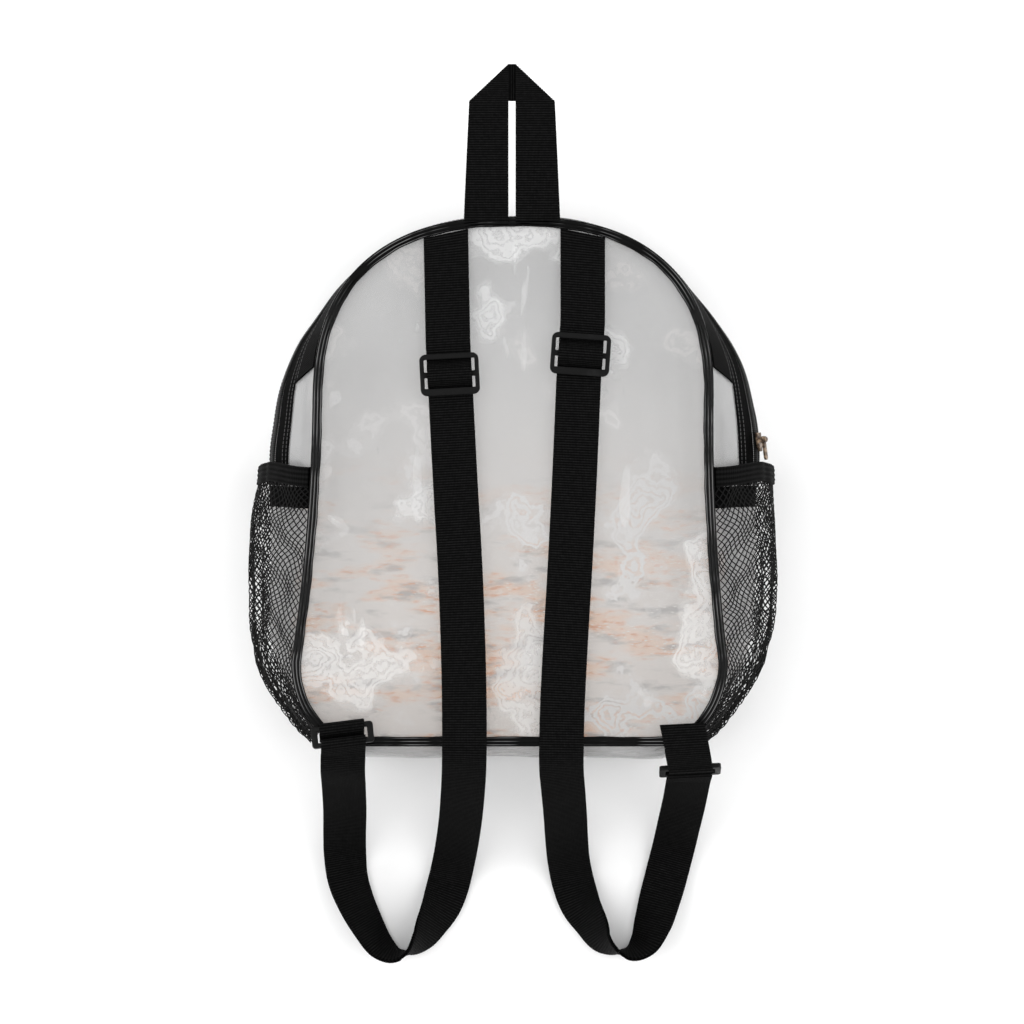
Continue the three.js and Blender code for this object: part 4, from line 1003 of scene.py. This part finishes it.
def ribbon(name, at, wide):
    """Ribbed webbing along a line of places with the directions of its width, which are longer
    than 1 where the webbing is cut on a slant. The line is read every third of a rib, and its
    corners are rounded by averaging neighbours."""
    length = lengths_along(at)
    along = np.arange(0, length[-1], RIB_PITCH / 3)
    at, wide = read_at(along, length, at), read_at(along, length, wide)
    weights = np.array([1, 2, 3, 2, 1]) / 9
    padded = np.pad(at, ((2, 2), (0, 0)), "edge")
    smooth = sum(weight * padded[k : k + len(at)] for k, weight in enumerate(weights))
    at = np.vstack([at[:2], smooth[2:-2], at[-2:]])
    ahead = unit(np.gradient(at, axis=0))
    face = unit(np.cross(wide, ahead))
    points, span = web_profile()
    lift = ribbed(points[:, 1], along)
    sections = at[:, None] + points[None, :, :1] * wide[:, None] + lift[..., None] * face[:, None]
    return shell(name, sections, span, along, crease=70)


def web_profile():
    """The webbing's section: two level faces and two half-round selvedges, with the distance
    across it at each corner."""
    half, edge = WEB_WIDTH / 2, WEB_THICKNESS / 2
    level = np.linspace(edge - half, half - edge, 6)
    bend = np.radians([60, 20, -20, -60])
    right = np.stack([half - edge + edge * np.cos(bend), edge * np.sin(bend)], 1)
    upper = stacked(level, edge, 0)[:, :2]
    points = np.concatenate([upper, right, upper[::-1] * [1, -1], -right])
    return points, np.append(points[:, 0], points[0, 0])


def slider_frame(strap):
    """A slider's centre, seen from above, and the directions across and up it, turned by its lean."""
    slider = strap["slider"]
    centre = np.array([strap["side"] * slider["across"] * HIP_HALF, slider["up"] * HALF_HEIGHT, 0])
    lean = np.radians(slider["lean"])
    wide = np.array([np.cos(lean), np.sin(lean), 0])
    upward = np.array([-np.sin(lean), np.cos(lean), 0])
    return centre, wide, upward


def ring_frame(strap):
    """The middles of a ring's two bars and the direction of both: the swing turns the ring about
    the vertical, and the tilt lifts its upper bar."""
    ring = strap["ring"]
    x, y = strap["side"] * ring["across"] * HIP_HALF, -HALF_HEIGHT - ring["out"] * LOOP_REACH
    lower = np.array([x, y, BINDING_CROWN + ring["crown"] * BAR_WRAP])
    swing, tilt = np.radians(ring["swing"]), np.radians(ring["tilt"])
    bar = np.array([np.cos(swing), np.sin(swing), 0])
    level = np.array([-np.sin(swing), np.cos(swing), 0])
    upper = lower + RING_PITCH * (level * np.cos(tilt) + UP * np.sin(tilt))
    return lower, upper, bar


def resting_height(roll):
    """Height of the middle of two layers that lie rolled on the surface."""
    angle = np.radians(roll)
    stack = LAYER_PITCH / 2 + WEB_THICKNESS / 2
    return WEB_WIDTH / 2 * abs(np.sin(angle)) + stack * abs(np.cos(angle)) + 0.05


def strap_middle(strap):
    """The line midway between a strap's two layers from its slider to its ring, with the width's
    and the outer face's directions: the roll turns the width about the line."""
    centre, _, upward = slider_frame(strap)
    lower, _, _ = ring_frame(strap)
    side = strap["side"]
    panel_level = STRAP_LOW - LAYER_PITCH / 2
    start = centre - upward * SLIDER_HEIGHT * LAYERS_START + UP * panel_level
    run = np.array(strap["run"])
    run_length = start[1] + HALF_HEIGHT
    on_panel = stacked(side * run[:, 0] * HIP_HALF, start[1] - run[:, 1] * run_length, panel_level)
    loop = np.array(strap["loop"])
    rest = np.maximum(resting_height(loop[:, 3]), loop[:, 2] * DEPTH)
    lift = np.where(loop[:, 2] > 1.01, panel_level, rest)
    off_panel = stacked(side * loop[:, 0] * HIP_HALF, -HALF_HEIGHT - loop[:, 1] * LOOP_REACH, lift)
    approach = unit(lower - off_panel[-1])
    rows = np.vstack([start, on_panel, off_panel, lower - 10 * approach])
    rolls = np.concatenate([np.zeros(len(run) + 1), loop[:, 3], [180]])
    number = np.linspace(0, len(rows) - 1, 12 * len(rows))
    line = curve_through(rows, number)
    turn = eased(number, np.arange(len(rows)), rolls)
    line[:, 2] = np.maximum(line[:, 2], resting_height(turn) + 0.15)
    along = unit(np.gradient(line, axis=0))
    across = unit(np.cross(along, UP))
    rise = unit(np.cross(across, along))
    roll = np.radians(-side * turn)[:, None]
    wide = across * np.cos(roll) + rise * np.sin(roll)
    return line, wide, unit(np.cross(wide, along)), approach


def strap_route(strap):
    """One length of webbing: top seam, slider, down over the edge, round the loop to the ring,
    back beside itself and round the slider's centre bar."""
    centre, wide, upward = slider_frame(strap)
    lower, _, bar = ring_frame(strap)
    line, line_wide, face, approach = strap_middle(strap)
    flat = -wide

    def by_frame(rows):
        table = np.array(rows)
        return centre + table[:, :1] * upward + table[:, 1:] * UP

    seam_x = strap["side"] * strap["seam_across"] * HIP_HALF
    share = np.abs(seam_x + np.array([0.5, -0.5]) * WEB_WIDTH - LEAN) / SHOULDER_HALF
    arch = (HALF_HEIGHT - SHOULDER_HEIGHT) * (1 - share**ARCH_POWER) ** (1 / ARCH_POWER)
    slope = (arch[0] - arch[1]) / WEB_WIDTH
    inset = (BINDING_TOP + 0.02) * np.hypot(1, slope)
    seam_level = DEPTH + 2 * GAP + WEB_THICKNESS / 2
    seam = np.array([seam_x, SHOULDER_HEIGHT + arch.mean() - inset, seam_level])
    cut = np.array([-1, -slope, 0])
    leaving = seam + np.linspace(0, 0.3, 4)[:, None] * (
        centre + SLIDER_HEIGHT * WEAVE_EXIT * upward + STRAP_LOW * UP - seam
    )
    squared = np.linspace(0, 1, 4)[:, None] ** 0.7
    cuts = cut * (1 - squared) + flat * squared
    dip, crest = SLIDER_HEIGHT * WEAVE_DIP, SLIDER_HEIGHT * WEAVE_CREST
    weave = by_frame(
        [
            (SLIDER_HEIGHT * WEAVE_EXIT, STRAP_LOW),
            (dip, STRAP_LOW),
            (crest, STRAP_HIGH),
            (-crest, STRAP_HIGH),
            (-dip, STRAP_LOW),
        ]
    )
    half = LAYER_PITCH / 2
    ring_wide = bar if line_wide[-1] @ bar > 0 else -bar
    outer = unit(np.cross(ring_wide, approach))
    angle = np.radians(np.arange(0, 181, 15))[:, None]
    round_bar = lower + BAR_WRAP * (outer * np.cos(angle) + approach * np.sin(angle))
    flare = (half + BAR_WRAP) / 2 + 0.4
    near = lower - 5 * approach
    slot = SLIDER_CENTRE_BAR / 2 + 1.3 * GAP + WEB_THICKNESS / 2
    under = STRAP_LOW - LAYER_PITCH
    bar_end = by_frame(
        [
            (-dip, under),
            (-slot, under),
            (slot * 0.4, under + 0.1),
            (slot, under + 1.4),
            (slot, WRAP_TOP - 0.5),
            (slot - 0.5, WRAP_TOP),
            (0.5 - slot, WRAP_TOP),
            (-slot, WRAP_TOP - 0.5),
            (-slot, FRAME_TOP - 1.2),
        ]
    )
    places = [leaving, weave, line + half * face, near + flare * outer, round_bar]
    places += [near - flare * outer, (line - half * face)[::-1], bar_end]
    widths = [cuts, flat, line_wide, ring_wide, ring_wide, ring_wide, line_wide[::-1], flat]
    at = np.vstack(places)
    spread = [np.broadcast_to(w, np.atleast_2d(p).shape) for p, w in zip(places, widths)]
    return at, np.vstack(spread)


def tab_route(strap):
    """A short length of webbing from the corner seam round the ring's upper bar and back."""
    _, upper, bar = ring_frame(strap)
    tab = strap["tab"]
    lean = np.radians(tab["lean"])
    inward = np.array([-strap["side"] * np.sin(lean), np.cos(lean), 0])
    crown = BINDING_CROWN + GAP + WEB_THICKNESS / 2

    def layer(rows, base):
        table = np.array(rows, float)
        places = upper + table[:, :1] * tab["length"] * inward
        places[:, 2] = base + (crown - base) * table[:, 1]
        return places

    angle = np.radians(np.arange(0, 161, 20))[:, None]
    round_bar = upper + BAR_WRAP * (UP * np.cos(angle) - inward * np.sin(angle))
    over = layer(tab["over"], upper[2] + BAR_WRAP)
    under = layer(tab["under"], upper[2] - BAR_WRAP)
    at = np.vstack([over, round_bar, under])
    return at, np.broadcast_to(-bar, at.shape)


def make_straps(webbing, moulded):
    """Each strap is a ribbon on its route, and so is the tab that holds its ring."""
    for name, strap in STRAPS.items():
        band = ribbon("strap_webbing_" + name, *strap_route(strap))
        dress("strap_webbing_" + name, band, webbing, "webbing", "shoulder_strap_" + name)
        tab = ribbon("tab_webbing_" + name, *tab_route(strap))
        dress("tab_webbing_" + name, tab, webbing, "webbing", "lower_tab_" + name)
        for node in ("strap_slider_" + name, "strap_ring_" + name):
            softened(node, moulded, "moulded", 0.7)


def softened(node, finish, slot, radius, body="pack"):
    """A hard piece with its edges rounded off: a joined copy of its solid under a bevel."""
    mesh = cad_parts[node].data.copy()
    mesh.materials.clear()
    work = bmesh.new()
    work.from_mesh(mesh)
    bmesh.ops.remove_doubles(work, verts=work.verts, dist=1e-6)
    bmesh.ops.dissolve_limit(work, angle_limit=0.02, verts=work.verts, edges=work.edges)
    work.to_mesh(mesh)
    work.free()
    mesh.shade_smooth()
    piece = dress(node + "_rounded", mesh, finish, slot, node, body=body)
    bevel = piece.modifiers.new("edges", "BEVEL")
    bevel.width = radius * MM
    bevel.segments = 3
    bevel.limit_method = "ANGLE"
    bevel.angle_limit = np.radians(35)
    bevel.harden_normals = False
    return piece


def folded(points, corner, normal, radius):
    """Cloth folded back over a straight edge: past the edge a point goes round a half circle of
    the radius and then away from it underneath, as far as it lay beyond."""
    beyond = (points[..., :2] - corner) @ normal + np.pi * radius / 2
    angle = np.clip(beyond / radius, 0, np.pi)
    over = radius + points[..., 2]
    left = np.maximum(beyond - np.pi * radius, 0)
    across = -np.pi * radius / 2 + over * np.sin(angle) - left
    height = over * np.cos(angle) - radius
    shift = np.where(beyond > 0, across - (beyond - np.pi * radius / 2), 0)
    moved = points.copy()
    moved[..., :2] += shift[..., None] * normal
    moved[..., 2] = np.where(beyond > 0, height, points[..., 2])
    return moved


def make_handle(webbing):
    """One flat length of webbing is folded twice on the slant, so that it goes up one leg, across
    behind and down the other leg. Its width then tapers evenly up the legs, with the slot between
    them kept, and a parabola droops it away from the seam."""
    centre = (WEB_WIDTH + HANDLE_SLOT) / 2
    outer, leg = centre + WEB_WIDTH / 2, HANDLE_LEG
    profile, _ = web_profile()
    along = np.arange(0, 2 * leg + 2 * outer, RIB_PITCH / 3)
    steps = np.arange(4)[None, :, None] / 4
    fine = profile[:, None] * (1 - steps) + np.roll(profile, -1, 0)[:, None] * steps
    fine = fine.reshape(-1, 2)
    flat = stacked(fine[None, :, 0] - centre, along[:, None], ribbed(fine[:, 1], along))
    radius = (WEB_THICKNESS + LAYER_GAP) / 2
    slant = 0.5**0.5
    flat = folded(flat, np.array([-outer, leg + 2 * outer]), np.array([slant, slant]), radius)
    flat = folded(flat, np.array([-outer, leg]), np.array([-slant, slant]), radius)
    x, y = flat[..., 0], flat[..., 1]
    narrow = HANDLE_TOP_WIDTH / WEB_WIDTH
    taper = 1 + (narrow - 1) * np.clip(y / leg, 0, 1)
    inner = HANDLE_SLOT / 2
    flat[..., 0] = np.where(abs(x) > inner, np.sign(x) * (inner + (abs(x) - inner) * taper), x)
    y = np.where(y > leg, leg + (y - leg) * narrow, y)
    drop = np.where(y < leg, (y / leg) ** 2, 2 * y / leg - 1) * HANDLE_DROOP
    flat[..., 1] = y + HALF_HEIGHT - HANDLE_INSET
    flat[..., 2] += BINDING_CROWN + GAP + WEB_THICKNESS / 2 - drop
    across = np.append(fine[:, 0], fine[0, 0])
    mesh = shell("handle_webbing", flat, across, along, crease=70)
    dress("handle_webbing", mesh, webbing, "webbing", "handle")


def make_stage():
    """Floor, and even light from all sides, a little dimmer overhead, with two softboxes and two
    strips."""
    mesh = bpy.data.meshes.new("floor")
    size = 6
    corners = [(-size, -size), (size, -size), (size, size), (-size, size)]
    mesh.from_pydata([(x, y, -0.0002) for x, y in corners], [], [(0, 1, 2, 3)])
    mesh.materials.append(floor_finish())
    floor = bpy.data.objects.new("floor", mesh)
    bpy.context.scene.collection.objects.link(floor)

    world = bpy.data.worlds.new("studio")
    world.use_nodes = True
    nodes, links = world.node_tree.nodes, world.node_tree.links
    direction = nodes.new("ShaderNodeTexCoord").outputs["Generated"]
    parts = nodes.new("ShaderNodeSeparateXYZ")
    links.new(direction, parts.inputs[0])
    ceiling = nodes.new("ShaderNodeMapRange")
    ceiling.interpolation_type = "SMOOTHSTEP"
    links.new(parts.outputs["Z"], ceiling.inputs["Value"])
    for socket, value in {"From Min": 0.6, "From Max": 0.9, "To Min": 1.0, "To Max": 0.95}.items():
        ceiling.inputs[socket].default_value = value
    background = nodes["Background"]
    background.inputs["Color"].default_value = grey(1)
    links.new(ceiling.outputs["Result"], background.inputs["Strength"])
    bpy.context.scene.world = world

    lamps = (
        ("left_softbox", (-1.6, 0.3, 1.7), (0, 0, 0.05), 2.4, 2, 15),
        ("right_softbox", (1.6, 0.2, 1.7), (0, 0, 0.05), 2.4, 2, 12),
        ("left_strip", (-1.5, 0.1, 0.5), (0, 0, 0.08), 1.4, 0.12, 9),
        ("right_strip", (1.5, 0.1, 0.5), (0, 0, 0.08), 1.4, 0.12, 9),
    )
    for name, place, aim, length, width, power in lamps:
        light = bpy.data.lights.new(name, "AREA")
        light.shape = "RECTANGLE"
        light.size = length
        light.size_y = width
        light.energy = power
        lamp = bpy.data.objects.new(name, light)
        lamp.location = place
        direction = Vector(aim) - lamp.location
        lamp.rotation_euler = direction.to_track_quat("-Z", "Y").to_euler()
        bpy.context.scene.collection.objects.link(lamp)


def make_camera():
    """A long lens straight above the pack."""
    lens = bpy.data.cameras.new("view")
    lens.lens = 100.7
    lens.sensor_width = 36
    lens.clip_end = 20
    camera = bpy.data.objects.new("view", lens)
    camera.location = (0, -0.019, 1.9)
    bpy.context.scene.collection.objects.link(camera)
    bpy.context.scene.camera = camera


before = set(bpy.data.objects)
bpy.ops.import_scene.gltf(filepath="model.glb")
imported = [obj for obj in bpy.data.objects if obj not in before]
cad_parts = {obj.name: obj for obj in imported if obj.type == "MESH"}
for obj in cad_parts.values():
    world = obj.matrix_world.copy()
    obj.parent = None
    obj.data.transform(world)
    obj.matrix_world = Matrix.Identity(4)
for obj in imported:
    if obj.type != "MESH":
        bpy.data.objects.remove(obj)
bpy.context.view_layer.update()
bpy.context.scene.view_settings.view_transform = "Standard"
make_camera()
webbing = webbing_finish()
tape = tape_finish()
thread = thread_finish("sewing_thread", 0.08)
make_panels(milky_finish(), printed_finish())
make_gussets(film_finish(), tape)
make_zip(tape, thread_finish("coil_nylon", 0.012, 0.38), thread)
make_top_band(webbing, thread)
make_bindings(binding_finish(), thread)
make_pockets(thread_finish("net_thread", 0.003), elastic_finish())
make_straps(webbing, moulded_finish())
make_handle(webbing)
brass = brass_finish()
softened("zip_slider", brass, "old_brass", 0.35)
softened("zip_pull_tab", brass, "old_brass", 0.3, body="zip_pull")
make_stage()
